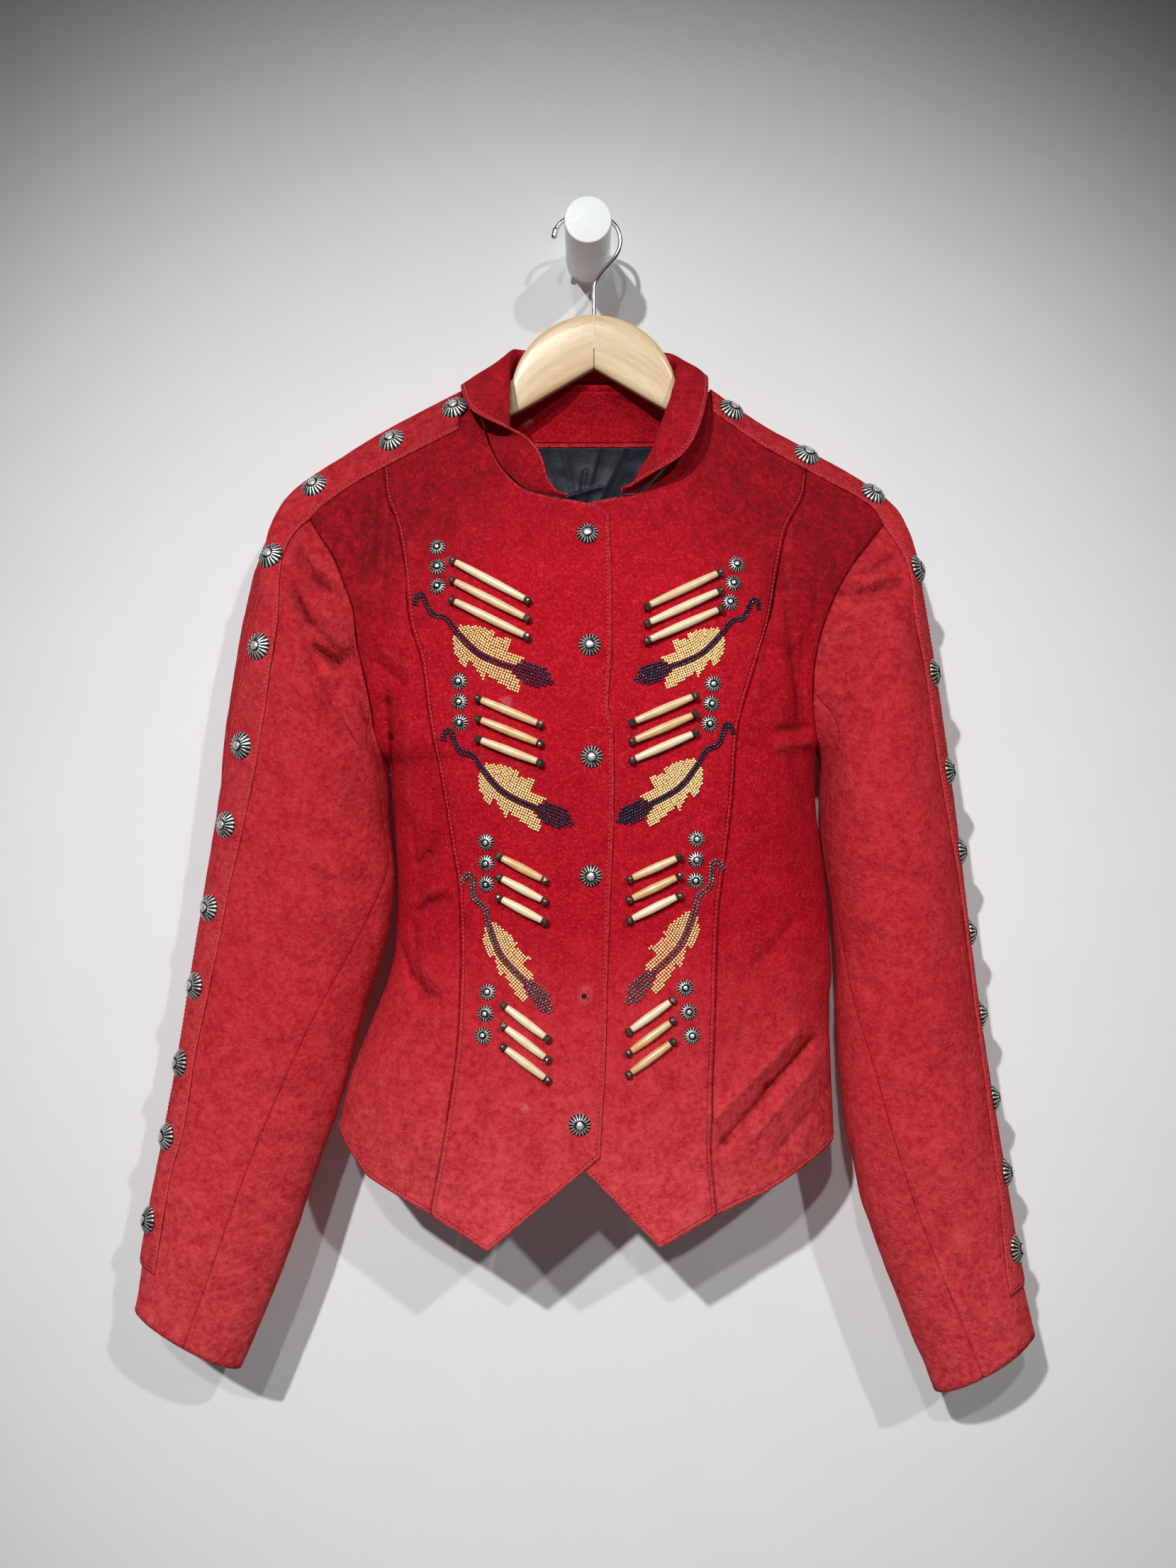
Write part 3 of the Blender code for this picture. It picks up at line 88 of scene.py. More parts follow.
class Tree:
    """Short ways to add and join nodes. In a socket's name an underscore stands for a space."""

    def __init__(self, tree):
        self.tree = tree

    def put(self, socket, value):
        if isinstance(value, bpy.types.NodeSocket):
            self.tree.links.new(value, socket)
        else:
            socket.default_value = value

    def feed(self, node, **inputs):
        for name, value in inputs.items():
            self.put(node.inputs[name.replace("_", " ")], value)

    def add(self, kind, settings=None, **inputs):
        node = self.tree.nodes.new(kind)
        for name, value in (settings or {}).items():
            setattr(node, name, value)
        self.feed(node, **inputs)
        return node

    def noise(self, vector, scale, detail=3.0, roughness=0.55):
        return self.add(
            "ShaderNodeTexNoise", Vector=vector, Scale=scale, Detail=detail, Roughness=roughness
        ).outputs["Fac"]

    def span(self, value, low, high, to_low=0.0, to_high=1.0):
        """Maps a range of values onto another, held at its ends."""
        ranges = {"From_Min": low, "From_Max": high, "To_Min": to_low, "To_Max": to_high}
        return self.add("ShaderNodeMapRange", {"clamp": True}, Value=value, **ranges).outputs["Result"]

    def sum(self, operation, a, b):
        node = self.add("ShaderNodeMath", {"operation": operation})
        self.put(node.inputs[0], a)
        self.put(node.inputs[1], b)
        return node.outputs[0]

    def times(self, a, b):
        return self.sum("MULTIPLY", a, b)

    def blend(self, share, a, b):
        node = self.add("ShaderNodeMix", {"data_type": "RGBA"})
        for place, value in ((0, share), (6, a), (7, b)):
            self.put(node.inputs[place], value)
        return node.outputs[2]

    def layer(self, name, output="Fac"):
        return self.add("ShaderNodeAttribute", {"attribute_name": name}).outputs[output]

    def bump(self, shader, height, strength, distance):
        node = self.add("ShaderNodeBump", Strength=strength, Distance=distance, Height=height)
        self.feed(shader, Normal=node.outputs["Normal"])


def start_finish(name, **constants):
    """A new material with its shader's constants set: the material, its tree, its shader and the place."""
    material = bpy.data.materials.new(name)
    material.use_nodes = True
    tree = Tree(material.node_tree)
    shader = material.node_tree.nodes["Principled BSDF"]
    tree.feed(shader, **constants)
    return material, tree, shader, tree.add("ShaderNodeTexCoord").outputs["Object"]


nap = bpy.data.node_groups.new("suede nap", "ShaderNodeTree")
group_sockets(
    nap,
    [
        ("Position", "NodeSocketVector", (0, 0, 0)),
        ("Red", "NodeSocketColor", NAP_RED),
        ("Deep", "NodeSocketColor", NAP_DEEP),
        ("Worn", "NodeSocketColor", NAP_WORN),
        ("Fading", "NodeSocketFloat", 0.0),
        ("Soil", "NodeSocketFloat", 0.0),
        ("Edge", "NodeSocketFloat", 30.0),
        ("Seam", "NodeSocketFloat", 30.0),
        ("Sewn", "NodeSocketFloat", 30.0),
    ],
    [("Color", "NodeSocketColor"), ("Roughness", "NodeSocketFloat"), ("Height", "NodeSocketFloat")],
)
make = Tree(nap)
into = make.add("NodeGroupInput").outputs
broad = make.noise(into["Position"], 9, 4, 0.6)
blotch = make.noise(into["Position"], 60, 7, 0.72)
pebble = make.noise(into["Position"], 210, 4, 0.65)
tuft = make.noise(into["Position"], 520, 5, 0.7)
grain = make.noise(into["Position"], 1500, 2, 0.6)
patch = make.sum("ADD", make.times(blotch, 0.45), make.times(pebble, 0.55))
colour = make.blend(make.span(broad, 0.36, 0.64, 0.25, 0.0), into["Red"], into["Deep"])
for pattern, low, high, depth in (
    (blotch, 0.36, 0.60, 0.40),
    (pebble, 0.38, 0.58, 0.34),
    (tuft, 0.37, 0.58, 0.70),
):
    colour = make.blend(make.span(pattern, low, high, depth, 0.0), colour, into["Deep"])
colour = make.blend(make.span(tuft, 0.52, 0.68, 0.0, 0.30), colour, into["Worn"])
faded = make.times(make.span(patch, 0.40, 0.60, 0.32, 1.0), into["Fading"])
colour = make.blend(faded, colour, into["Worn"])
# Darkening towards a browner red, as much as each piece asks; along the bottoms of creases it is painted
# shade
darkened_nap = make.times(make.span(patch, 0.38, 0.60, 1.0, 0.35), into["Soil"])
colour = make.blend(darkened_nap, colour, NAP_DARKENED)
rubbed = make.times(make.span(into["Edge"], 0.0, RUBBED_MM, 1.0, 0.0), make.span(tuft, 0.38, 0.58))
colour = make.blend(make.times(rubbed, 0.55), colour, into["Worn"])
colour = make.blend(make.span(into["Seam"], 0.1, SEAM_DARK_MM, 0.45, 0.0), colour, into["Deep"])
chalk = make.span(make.noise(into["Position"], 24, 2, 0.5), 0.745, 0.77)
chalk = make.times(chalk, make.span(grain, 0.42, 0.60))
colour = make.blend(make.times(chalk, 0.5), colour, NAP_CHALK)
off_row = make.sum("ABSOLUTE", make.sum("SUBTRACT", into["Sewn"], ROW_MM), 0.0)
sewn = make.span(off_row, 0.0, 1.0, 1.0, 0.0)
colour = make.blend(make.times(sewn, 0.35), colour, into["Deep"])
height = make.times(tuft, 0.9)
for pattern, share in ((grain, 0.25), (pebble, 1.6), (blotch, 1.4)):
    height = make.sum("ADD", height, make.times(pattern, share))
make.add(
    "NodeGroupOutput",
    Color=colour,
    Roughness=make.span(blotch, 0.3, 0.7, 0.98, 0.86),
    Height=make.sum("SUBTRACT", height, make.times(sewn, 0.8)),
)


def suede(name, fading=0.06, worn=NAP_WORN, with_edge=True):
    """One suede panel's finish. Fading is how far its red has gone towards the worn tone."""
    material, tree, shader, place = start_finish(
        name,
        Sheen_Weight=0.04,
        Sheen_Roughness=0.5,
        Sheen_Tint=(1.0, 0.14, 0.16, 1),
        Specular_IOR_Level=0.03,
    )
    group = tree.add("ShaderNodeGroup", {"node_tree": nap}, Position=place, Red=NAP_RED, Worn=worn)
    if with_edge:
        wear = tree.sum("ADD", tree.layer("fading"), fading)
        tree.feed(group, Edge=tree.layer("edge_mm"), Seam=tree.layer("seam_mm"))
        tree.feed(group, Sewn=tree.layer("stitch_mm"), Soil=tree.layer("darkening"), Fading=wear)
    else:
        tree.feed(group, Fading=fading)
    tree.feed(shader, Base_Color=group.outputs["Color"], Roughness=group.outputs["Roughness"])
    tree.bump(shader, group.outputs["Height"], 0.9, 0.0012)
    return material


SUEDE_BODY = suede("red suede, body")
SUEDE_WORN = suede("red suede, rubbed", 0.16)

# Fronts and back
# Two centre fronts and two side fronts meet at princess seams, and one plain back closes the body. The
# suede is cut, seamed face to face and pressed open, then top-stitched in red beside each seam.


def table(names, *rows):
    """A table as one array for each named column."""
    return {name: np.array(column, float) for name, column in zip(names.split(), zip(*rows))}


def curve(keys, values, at):
    """A smooth curve through the points that never overshoots them, read at many places at once."""
    order = np.argsort(keys)
    x, y = keys[order], values[order]
    gap = np.diff(x)
    rise = np.diff(y) / gap
    slope = np.concatenate([[rise[0]], np.zeros(len(x) - 2), [rise[-1]]])
    for i in range(1, len(x) - 1):
        if rise[i - 1] * rise[i] > 0:
            near, far = 2 * gap[i] + gap[i - 1], gap[i] + 2 * gap[i - 1]
            slope[i] = (near + far) / (near / rise[i - 1] + far / rise[i])
    at = np.clip(at, x[0], x[-1])
    k = np.clip(np.searchsorted(x, at) - 1, 0, len(gap) - 1)
    t = (at - x[k]) / gap[k]
    low = y[k] * (1 + 2 * t) * (1 - t) ** 2 + slope[k] * gap[k] * t * (1 - t) ** 2
    return low + y[k + 1] * t * t * (3 - 2 * t) - slope[k + 1] * gap[k] * t * t * (1 - t)


def read(tab, key, name, at):
    return curve(tab[key], tab[name], at)


BODY = table(
    "z     left   right   side  front  back",
    (-100, -238, 244, -50, -96, -14),
    (-200, -228, 240, -54, -110, -9),
    (-260, -208, 214, -57, -124, -7),
    (-300, -197, 198, -58, -132, -7),
    (-350, -178, 184, -58, -137, -8),
    (-375, -169, 180.5, -58, -138, -9),
    (-385, -166, 178.5, -58, -138, -10),
    (-394, -160.5, 173.5, -58, -138, -11),
    (-404, -151, 172.5, -58, -138, -11),
    (-430, -149, 173, -58, -136, -13),
    (-460, -146.5, 176.5, -58, -133, -15),
    (-500, -144.5, 181.5, -58, -129, -17),
    (-540, -146.5, 184.5, -59, -127, -17),
    (-562, -151, 185.5, -60, -128, -15),
    (-586, -160, 183, -60, -131, -12),
    (-613, -171, 184, -61, -134, -10),
    (-640, -181, 185, -62, -136, -9),
    (-680, -189, 186.5, -63, -138, -8),
    (-760, -194, 188, -64, -140, -8),
)
RIDGE = table(
    "x z",
    (-240, -206),
    (-224, -193),
    (-212, -184),
    (-190, -170),
    (-163, -153),
    (-132, -136),
    (-97, -118),
    (-84, -111),
    (-60, -104),
    (0, -100),
    (60, -104),
    (80, -108),
    (91, -115),
    (115, -132),
    (136, -146),
    (157, -157),
    (178, -169),
    (203, -183),
    (226, -199),
    (236, -208),
    (252, -224),
)
NECK_RIGHT = table(
    "x z",
    (13.5, -219),
    (8, -214),
    (-2, -211),
    (-17, -208),
    (-32, -205),
    (-46, -201),
    (-56, -193),
    (-64, -184),
    (-72, -170),
    (-79, -150),
    (-84, -130),
    (-86, -119),
    (-87, -112.8),
)
NECK_LEFT = table(
    "x z",
    (-24, -214),
    (-2, -211),
    (15, -207.5),
    (26, -205.5),
    (36, -204),
    (50, -193),
    (60, -181),
    (68, -165),
    (74.5, -148),
    (79, -130),
    (81.4, -117),
    (82.4, -109.8),
)
NECK_POINT = (-87, 82.4)
BACK_NECK_DROP = 8.0
RIDGE_Y = -48.0
FRONT_NOSE, FRONT_FALL = 6.0, 0.5
BACK_NOSE, BACK_FALL = 8.0, 0.6
FRONT_BOX, BACK_BOX = 2.8, 3.0
CREASE_START = 20  # creases have their full depth from this far off the shoulder's line

# Creases of the hanging cloth, troughs and (below zero) ridges: pleats under the band, pockets at the
# armpits, tucks at the waist and long diagonals at the hem
FOLDS = table(
    "x_top z_top x_low z_low depth width",
    (-166, -205, -168, -290, 3, 10),
    (-136, -330, -144, -372, 2.5, 9),
    (158, -315, 155, -372, 5, 9),
    (140, -255, 128, -330, 3.5, 10),
    (-131, -520, -122, -575, 4, 9),
    (-108, -440, -126, -500, 3, 10),
    (-180, -214, -175, -252, 2.4, 3.4),
    (-170, -207, -166, -240, 2.6, 3.4),
    (-158, -200, -158, -262, 3.0, 3.6),
    (-163, -222, -166, -292, -1.8, 5),
    (-150, -210, -152, -276, -1.4, 5),
    (-146, -204, -151, -300, 2.0, 4),
    (-132, -240, -136, -320, -1.8, 6),
    (-153, -330, -135, -345, 4.0, 4),
    (-150, -320, -131, -334, -2.0, 6),
    (-154, -362, -147, -357, 2.0, 4),
    (-147, -357, -145.5, -384, 8.0, 3.6),
    (-145.5, -384, -147.5, -408, 10.0, 3.6),
    (-147.5, -408, -145.5, -448, 6.0, 4),
    (-131, -372, -134, -432, -2.6, 7),
    (-126, -512, -116, -505, 5.5, 4.5),
    (-116, -505, -103, -502, 5.0, 4),
    (-127, -503, -108, -494, -2.4, 6),
    (-126, -478, -116, -469, 5.0, 4.5),
    (-116, -469, -110, -457, 3.0, 4),
    (-139, -540, -130, -561, 5.0, 4.5),
    (-130, -561, -119, -573, 6.0, 4.5),
    (-119, -573, -111, -573, 5.0, 4),
    (-128, -546, -112, -562, -2.4, 7),
    (-130, -448, -127, -475, 3.0, 5),
    (-125, -600, -150, -645, 1.8, 9),
    (-104, -640, -122, -690, -1.6, 10),
    (172, -240, 166, -300, 1.8, 6),
    (150, -235, 147, -300, -2.0, 7),
    (128, -300, 122, -355, -1.8, 7),
    (143.6, -275, 149.8, -323, 5.0, 7),
    (149.8, -323, 158, -376, 6.0, 6),
    (139, -379, 161, -376, 7.0, 5),
    (138, -391, 166, -388, -4.0, 7),
    (150, -400, 166, -446, 2.4, 7),
    (138, -360, 148, -430, -1.8, 8),
    (150, -520, 118, -556, 2.6, 9),
    (166, -607, 131, -640, 8.5, 5),
    (131, -640, 96, -679, 7.5, 5),
    (152, -600, 92, -656, -5.0, 9),
    (182, -612, 122, -668, -3.4, 8),
    (184, -640, 136, -686, 3.0, 7),
    (112, -585, 104, -640, 1.8, 8),
    (60, -640, 78, -700, 1.8, 9),
    (-30, -625, -62, -690, 1.2, 10),
    (-70, -640, -92, -716, 1.4, 9),
    (48, -228, 96, -238, 1.4, 9),
    (-60, -225, -104, -226, 1.4, 9),
    (-92, -520, -70, -545, 1.2, 7),
    (20, -330, 44, -338, 0.9, 7),
    (30, -440, 78, -446, 0.9, 8),
    (-70, -402, -30, -412, 0.9, 8),
)

PRINCESS_RIGHT = table(
    "z x",
    (-130, -158),
    (-197, -152),
    (-229, -141),
    (-259, -135),
    (-300, -130),
    (-330, -121),
    (-368, -116),
    (-414, -107.5),
    (-460, -100),
    (-496, -94.5),
    (-542, -93),
    (-594, -94),
    (-660, -101.5),
    (-723, -113),
)
PRINCESS_LEFT = table(
    "z x",
    (-130, 170),
    (-195, 164),
    (-233, 146),
    (-259, 140.5),
    (-293, 134),
    (-335, 121),
    (-362, 112.5),
    (-379, 108.5),
    (-432, 104.5),
    (-469, 100),
    (-515, 94.5),
    (-584, 92),
    (-678, 88.5),
    (-723, 92),
)
PLACKET = table(
    "z x",
    (-200, 13.5),
    (-223, 15.5),
    (-281, 17),
    (-316, 17),
    (-361, 14.5),
    (-380, 18),
    (-432, 18.5),
    (-486, 16.5),
    (-557, 14),
    (-614, 12.5),
    (-675, 9),
    (-700, 8),
)
UNDERLAP = table("z x", (-200, -23), (-450, -23), (-700, -23))
HEM_RIGHT = table(
    "x z",
    (-196, -672),
    (-188, -677),
    (-161, -705),
    (-116, -726),
    (-72, -752),
    (8, -685),
    (20, -675),
)
HEM_LEFT = table(
    "x z",
    (-24, -674),
    (0, -697),
    (26, -723),
    (51.5, -749),
    (94, -726),
    (128, -713),
    (185, -684),
    (192, -680),
)
HEM_BACK = table("x z", (-196, -680), (-100, -684), (0, -686), (100, -686), (192, -684))
ARMHOLE_RIGHT = table(
    "z     front  back",
    (-193, -224, -224),
    (-202, -219, -222),
    (-219, -209, -217),
    (-235, -199, -212),
    (-250, -189, -206),
    (-272, -180, -198),
    (-290, -173.5, -191),
    (-318, -170, -183),
    (-340, -165, -176),
    (-362, -161, -169),
    (-381, -159, -163),
    (-395, -154.5, -155.5),
    (-404, -151, -151),
)
ARMHOLE_LEFT = table(
    "z     front  back",
    (-208, 236, 236),
    (-214, 230, 234),
    (-223, 222.5, 230),
    (-236, 212, 224),
    (-255, 197, 214),
    (-277, 184, 204),
    (-297, 175.5, 196),
    (-318, 169.5, 189),
    (-341, 166.5, 183),
    (-362, 167, 179),
    (-380, 170, 176),
    (-394, 173.5, 173.5),
)


def creases(x, z, tab):
    """Each crease's depth and width, and each point's distance from its line."""
    for ax, az, bx, bz, deep, width in zip(*tab.values()):
        run = ((x - ax) * (bx - ax) + (z - az) * (bz - az)) / ((bx - ax) ** 2 + (bz - az) ** 2)
        along = np.clip(run, 0, 1)
        yield deep, width, np.hypot(x - ax - along * (bx - ax), z - az - along * (bz - az))


def fold_depth(x, z, tab):
    """How far the cloth sinks at each point, from a table of folds: each a crisp line between full sides."""
    depth = np.zeros_like(x)
    for deep, width, off in creases(x, z, tab):
        depth += deep * (0.2 * np.exp(-((2 * off / width) ** 2)) + 0.8 * np.exp(-1.5 * off / width))
    return depth


def crease_shade_and_crest_light(x, z, tab):
    """Painted shade along the bottom of each crease, and paler nap along the crest of each ridge: partly
    rubbed wear, partly a painted highlight.
    """
    darkening, wear = np.zeros_like(x), np.zeros_like(x)
    for deep, width, off in creases(x, z, tab):
        tone = min(abs(deep) / 7, 1) * min(4.5 / width, 1) * np.exp(-((off / (0.40 * width)) ** 2))
        if deep > 0:
            darkening = np.maximum(darkening, 0.95 * tone)
        else:
            wear = np.maximum(wear, 0.5 * tone)
    return darkening, wear


def ripple(x, z, seed, size):
    """Soft unevenness of hand-dyed skin: a few crossed waves, from -1 to 1."""
    rng = np.random.default_rng(seed)
    total = np.zeros_like(x)
    for k in range(7):
        a, p = rng.uniform(0, 2 * pi, 2)
        w = 2 * pi / (size * rng.uniform(0.6, 1.7))
        total += np.sin((x * cos(a) + z * sin(a)) * w + p)
    return total / 4


def uneven(x, z, *waves):
    """Ripples of several heights, seeds and sizes together."""
    return sum(high * ripple(x, z, seed, size) for high, seed, size in waves)


def shoulder_z(x):
    return read(RIDGE, "x", "z", x)


def fullness(x, z, box):
    left, right = read(BODY, "z", "left", z), read(BODY, "z", "right", z)
    u = np.minimum(abs(2 * x - left - right) / (right - left), 1)
    return np.maximum(1 - u**box, 0) ** 0.5


def drawn_in(x, z, full, oval, nose, fall):
    """A wall's depth drawn in to the shoulder's top line, what draws it, and how freely it creases there."""
    below = np.maximum(shoulder_z(x) - z, 0)
    start = (2 * nose * below + (fall * below) ** 2) ** 0.5
    depth = (np.maximum(start, 0.01) ** -4 + np.maximum(full, 0.01) ** -4) ** -0.25
    free = np.minimum(start / CREASE_START, 1)
    return depth, free, free * np.minimum(oval * 2, 1)


def front_y(x, z):
    """The front's depth: the body's oval, drawn in to the shoulder's top line, with its creases."""
    side, front = read(BODY, "z", "side", z), read(BODY, "z", "front", z)
    oval = fullness(x, z, FRONT_BOX)
    full = RIDGE_Y - side - (front - side) * oval
    depth, _, edge = drawn_in(x, z, full, oval, FRONT_NOSE, FRONT_FALL)
    return RIDGE_Y - depth + (fold_depth(x, z, FOLDS) + uneven(x, z, (0.55, 3, 46), (0.22, 4, 17))) * edge


# The back isn't in the photo: long soft folds like the front's, fewer of them
BACK_FOLDS = table(
    "x_top z_top x_low z_low depth width",
    (-170, -230, -166, -330, 4, 12),
    (176, -240, 170, -330, 4, 12),
    (-60, -250, -40, -420, 2, 22),
    (62, -260, 44, -430, 2, 22),
    (-146, -380, -90, -440, 3, 13),
    (160, -380, 100, -436, 3, 13),
    (-130, -470, -60, -500, 2.5, 12),
    (150, -470, 66, -506, 2.5, 12),
    (-120, -520, -50, -530, -1.5, 10),
    (138, -525, 60, -534, -1.5, 10),
    (-20, -560, -36, -680, 2.5, 18),
    (70, -570, 90, -680, 3, 18),
    (-110, -580, -130, -680, 3, 16),
)


def back_y(x, z):
    side, back = read(BODY, "z", "side", z), read(BODY, "z", "back", z)
    oval = fullness(x, z, BACK_BOX)
    full = side + (back - side) * oval - RIDGE_Y
    depth, free, edge = drawn_in(x, z, full, oval, BACK_NOSE, BACK_FALL)
    depth = np.where(full > 0, RIDGE_Y + depth, RIDGE_Y + full * free)
    return depth - (fold_depth(x, z, BACK_FOLDS) - uneven(x, z, (0.5, 5, 52), (0.2, 6, 18))) * edge


def steps_between(knots, pitch):
    """Shares of the way between knots, evenly filled so that each knot keeps a line of its own."""
    shares = [knots[0]]
    for a, b in zip(knots, knots[1:]):
        count = max(round((b - a) / pitch), 1)
        shares += [a + (b - a) * (k + 1) / count for k in range(count)]
    return np.array(shares)


SEAM_ALLOWANCE = 6.0


def declare_cut(points):
    """Works out the area of a sheet's own surface."""
    faces = np.cross(np.diff(points, axis=0)[:, :-1], np.diff(points, axis=1)[:-1])
    surface = np.linalg.norm(faces, axis=2).sum()


def mesh_of(name, bm):
    """Turns a bmesh into a mesh."""
    mesh = bpy.data.meshes.new(name)
    bm.to_mesh(mesh)
    bm.free()
    return mesh


def keep_values(mesh, name, values):
    """Stores one number for each point of a mesh."""
    layer = mesh.attributes.new(name, "FLOAT", "POINT")
    layer.data.foreach_set("value", np.ascontiguousarray(values, np.float32))


def hang_piece(name, mesh, material, replaced=(), sharp=None):
    """Sets a mesh in the scene as a piece. Sharp is the angle in degrees from which its edges stay crisp."""
    if sharp:
        mesh.shade_smooth()
        mesh.set_sharp_from_angle(angle=radians(sharp))
    mesh.materials.append(material)
    piece = bpy.data.objects.new(name, mesh)
    bpy.context.collection.objects.link(piece)
    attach(piece, "root")
    if replaced:
        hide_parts(*replaced)
    return piece


def grid_on(points):
    """A grid moved to its points, and the column and row of each of its vertices."""
    columns, rows = points.shape[:2]
    bm = bmesh.new()
    bmesh.ops.create_grid(bm, x_segments=columns - 1, y_segments=rows - 1, size=0.5)
    order = np.zeros((len(bm.verts), 2), int)
    for k, vert in enumerate(bm.verts):
        i, j = round((vert.co.x + 0.5) * (columns - 1)), round((vert.co.y + 0.5) * (rows - 1))
        order[k] = i, j
        vert.co = points[i, j] * MM
    return bm, order


ARMS = ("hanger_arm_right", "hanger_arm_left")
# What a sheet of cloth is unless its own section says otherwise
SHEET = {
    "material": SUEDE_BODY,
    "thickness": SUEDE_THICK,
    "slot": "suede_red",
    "held": "hung",
    "rests_on": ARMS,
    "allowance": SEAM_ALLOWANCE,
}


def grid_sheet(node, points, normals, attributes, cloth="suede", **changes):
    """A sheet of cloth over its node: a grid moved to its points, thick on the side away from the normals."""
    made = SHEET | changes
    bm, order = grid_on(points)
    faced = np.cross(np.gradient(points, axis=0), np.gradient(points, axis=1))
    if np.sum(faced * normals) < 0:
        bmesh.ops.reverse_faces(bm, faces=bm.faces)
    mesh = mesh_of(f"{node}_{cloth}", bm)
    for key, values in attributes.items():
        keep_values(mesh, key, values[order[:, 0], order[:, 1]])
    mesh.shade_smooth()
    piece = hang_piece(mesh.name, mesh, made["material"], [node])
    solid = piece.modifiers.new("thickness", "SOLIDIFY")
    solid.thickness = made["thickness"] * MM
    solid.offset = -1
    declare_cut(points)


def grid_normals(points, outward):
    """Normals of a grid of points, each line of it the same way out as the given directions."""
    normals = np.cross(np.gradient(points, axis=0), np.gradient(points, axis=1))
    normals /= np.maximum(np.linalg.norm(normals, axis=2, keepdims=True), 1e-9)
    return normals if np.sum(normals * np.broadcast_to(outward, points.shape)) > 0 else -normals


def arc_lengths(points, axis):
    """Distance walked along each line of a grid."""
    hops = np.linalg.norm(np.diff(points, axis=axis), axis=2)
    start = np.zeros_like(np.take(hops, [0], axis=axis))
    return np.cumsum(np.concatenate([start, hops], axis=axis), axis=axis)


def edge_distance(points, sides):
    """Distance of each point to the nearest of the named sides of its grid."""
    across, along = arc_lengths(points, 0), arc_lengths(points, 1)
    near = {"first": across, "last": across[-1:] - across, "low": along, "top": along[:, -1:] - along}
    return np.minimum.reduce([near[side] for side in sides])


SEAM_PULL, LIGHT_PULL, PULL_REACH = 0.5, 0.3, 1.6


def pull_in(points, normals, sides, depth=SEAM_PULL):
    """Draws the cloth down along seamed sides, as stitches do."""
    near = edge_distance(points, sides)
    return points - normals * (depth * np.exp(-((near / PULL_REACH) ** 2)))[..., None]


ROW_SHARES = steps_between((0, 0.012, 0.03, 0.97, 0.988, 1), 0.0041)


def panel(left, right, hem, top, low, high, rows=ROW_SHARES):
    """Places of a panel's points: x and z for each share across, at its hem and its top, and up."""

    def x_at(z, share):
        return left(z) + (right(z) - left(z)) * share

    ends = []
    for line, share in ((hem, low), (top, high)):
        z = line(x_at(np.full_like(share, -400.0), share))
        for _ in range(40):
            z = 0.5 * z + 0.5 * line(x_at(z, share))
        ends.append(z)
    t = np.asarray(rows)[None, :]
    z = ends[0][:, None] + (ends[1] - ends[0])[:, None] * t
    share = low[:, None] + (high - low)[:, None] * t
    return x_at(z, share), z


CENTRE_COLUMNS = {
    "right": table(
        "hem top",
        (0, 0),
        (0.012, 0.012),
        (0.04, 0.04),
        (0.10, 0.08),
        (0.24, 0.20),
        (0.38, 0.33),
        (0.52, 0.44),
        (0.60, 0.506),
        (0.642, 0.54),
        (0.71, 0.573),
        (0.76, 0.5835),
        (0.82, 0.5965),
        (0.91, 0.79),
        (0.975, 0.95),
        (0.99, 0.985),
        (1, 1),
    ),
    "left": table(
        "hem top",
        (0, 0),
        (0.18, 0.185),
        (0.34, 0.25),
        (0.44, 0.315),
        (0.54, 0.42),
        (0.60, 0.475),
        (0.648, 0.508),
        (0.70, 0.53),
        (0.75, 0.5415),
        (0.81, 0.5525),
        (0.90, 0.77),
        (0.975, 0.95),
        (0.99, 0.985),
        (1, 1),
    ),
}
SEAM = 0.2
# The left front lies under the right one as far as the placket, and rises from under it over a short way
LAP_SINK, LAP_CLEAR, LAP_RISE = SUEDE_THICK + 1.0, 5, 18


def side_edge(side, face):
    armhole, column = (ARMHOLE_RIGHT, "left") if side == "right" else (ARMHOLE_LEFT, "right")

    def x_at(z):
        return np.where(z >= armhole["z"].min(), read(armhole, "z", face, z), read(BODY, "z", column, z))

    return x_at


FRONT_FADING, BACK_FADING = (-752, 230), (-700, 190)


def hem_fading(points, low_z, reach):
    """How far the red has gone at each point, all of it at the hem and none from its reach above."""
    return 0.98 * np.clip((low_z + reach - points[..., 2]) / reach, 0, 1)


FAR_MM = 30.0


def nap_places(points, free=(), seams=(), sewn=(), fading=0.0, darkening=0.0):
    """What the nap needs to know at each point: its distance to edges, seams and stitches, and its wear."""
    far = np.full(points.shape[:2], FAR_MM)
    places = {"fading": far * 0 + fading, "darkening": far * 0 + darkening}
    for name, sides in (("edge_mm", free), ("seam_mm", seams), ("stitch_mm", sewn)):
        places[name] = edge_distance(points, sides) if sides else far
    return places


def shoulder_darkening(points):
    """Darker high on the shoulders, lower down towards the armholes, and a little at the waist's sides."""
    x, z = points[..., 0], points[..., 2]
    out = np.maximum(abs(x - 4) - 62, 0)
    high = np.clip((z + 262 + 0.85 * out) / 95, 0, 1) * np.clip((z + 440) / 90, 0, 1)
    return 0.80 * high + 0.12 * np.clip(out / 50, 0, 1)


def front_wear_and_shade(points):
    """Fading and darkening of a front panel, with painted shade in its creases and paler crests, partly wear
    and partly a painted highlight.
    """
    crease_shade, wear = crease_shade_and_crest_light(points[..., 0], points[..., 2], FOLDS)
    return hem_fading(points, *FRONT_FADING) + wear, shoulder_darkening(points) + crease_shade


FRONT_LINES = {
    "right": (1, PRINCESS_RIGHT, HEM_RIGHT, NECK_RIGHT, NECK_POINT[0], PLACKET),
    "left": (-1, PRINCESS_LEFT, HEM_LEFT, NECK_LEFT, NECK_POINT[1], UNDERLAP),
}
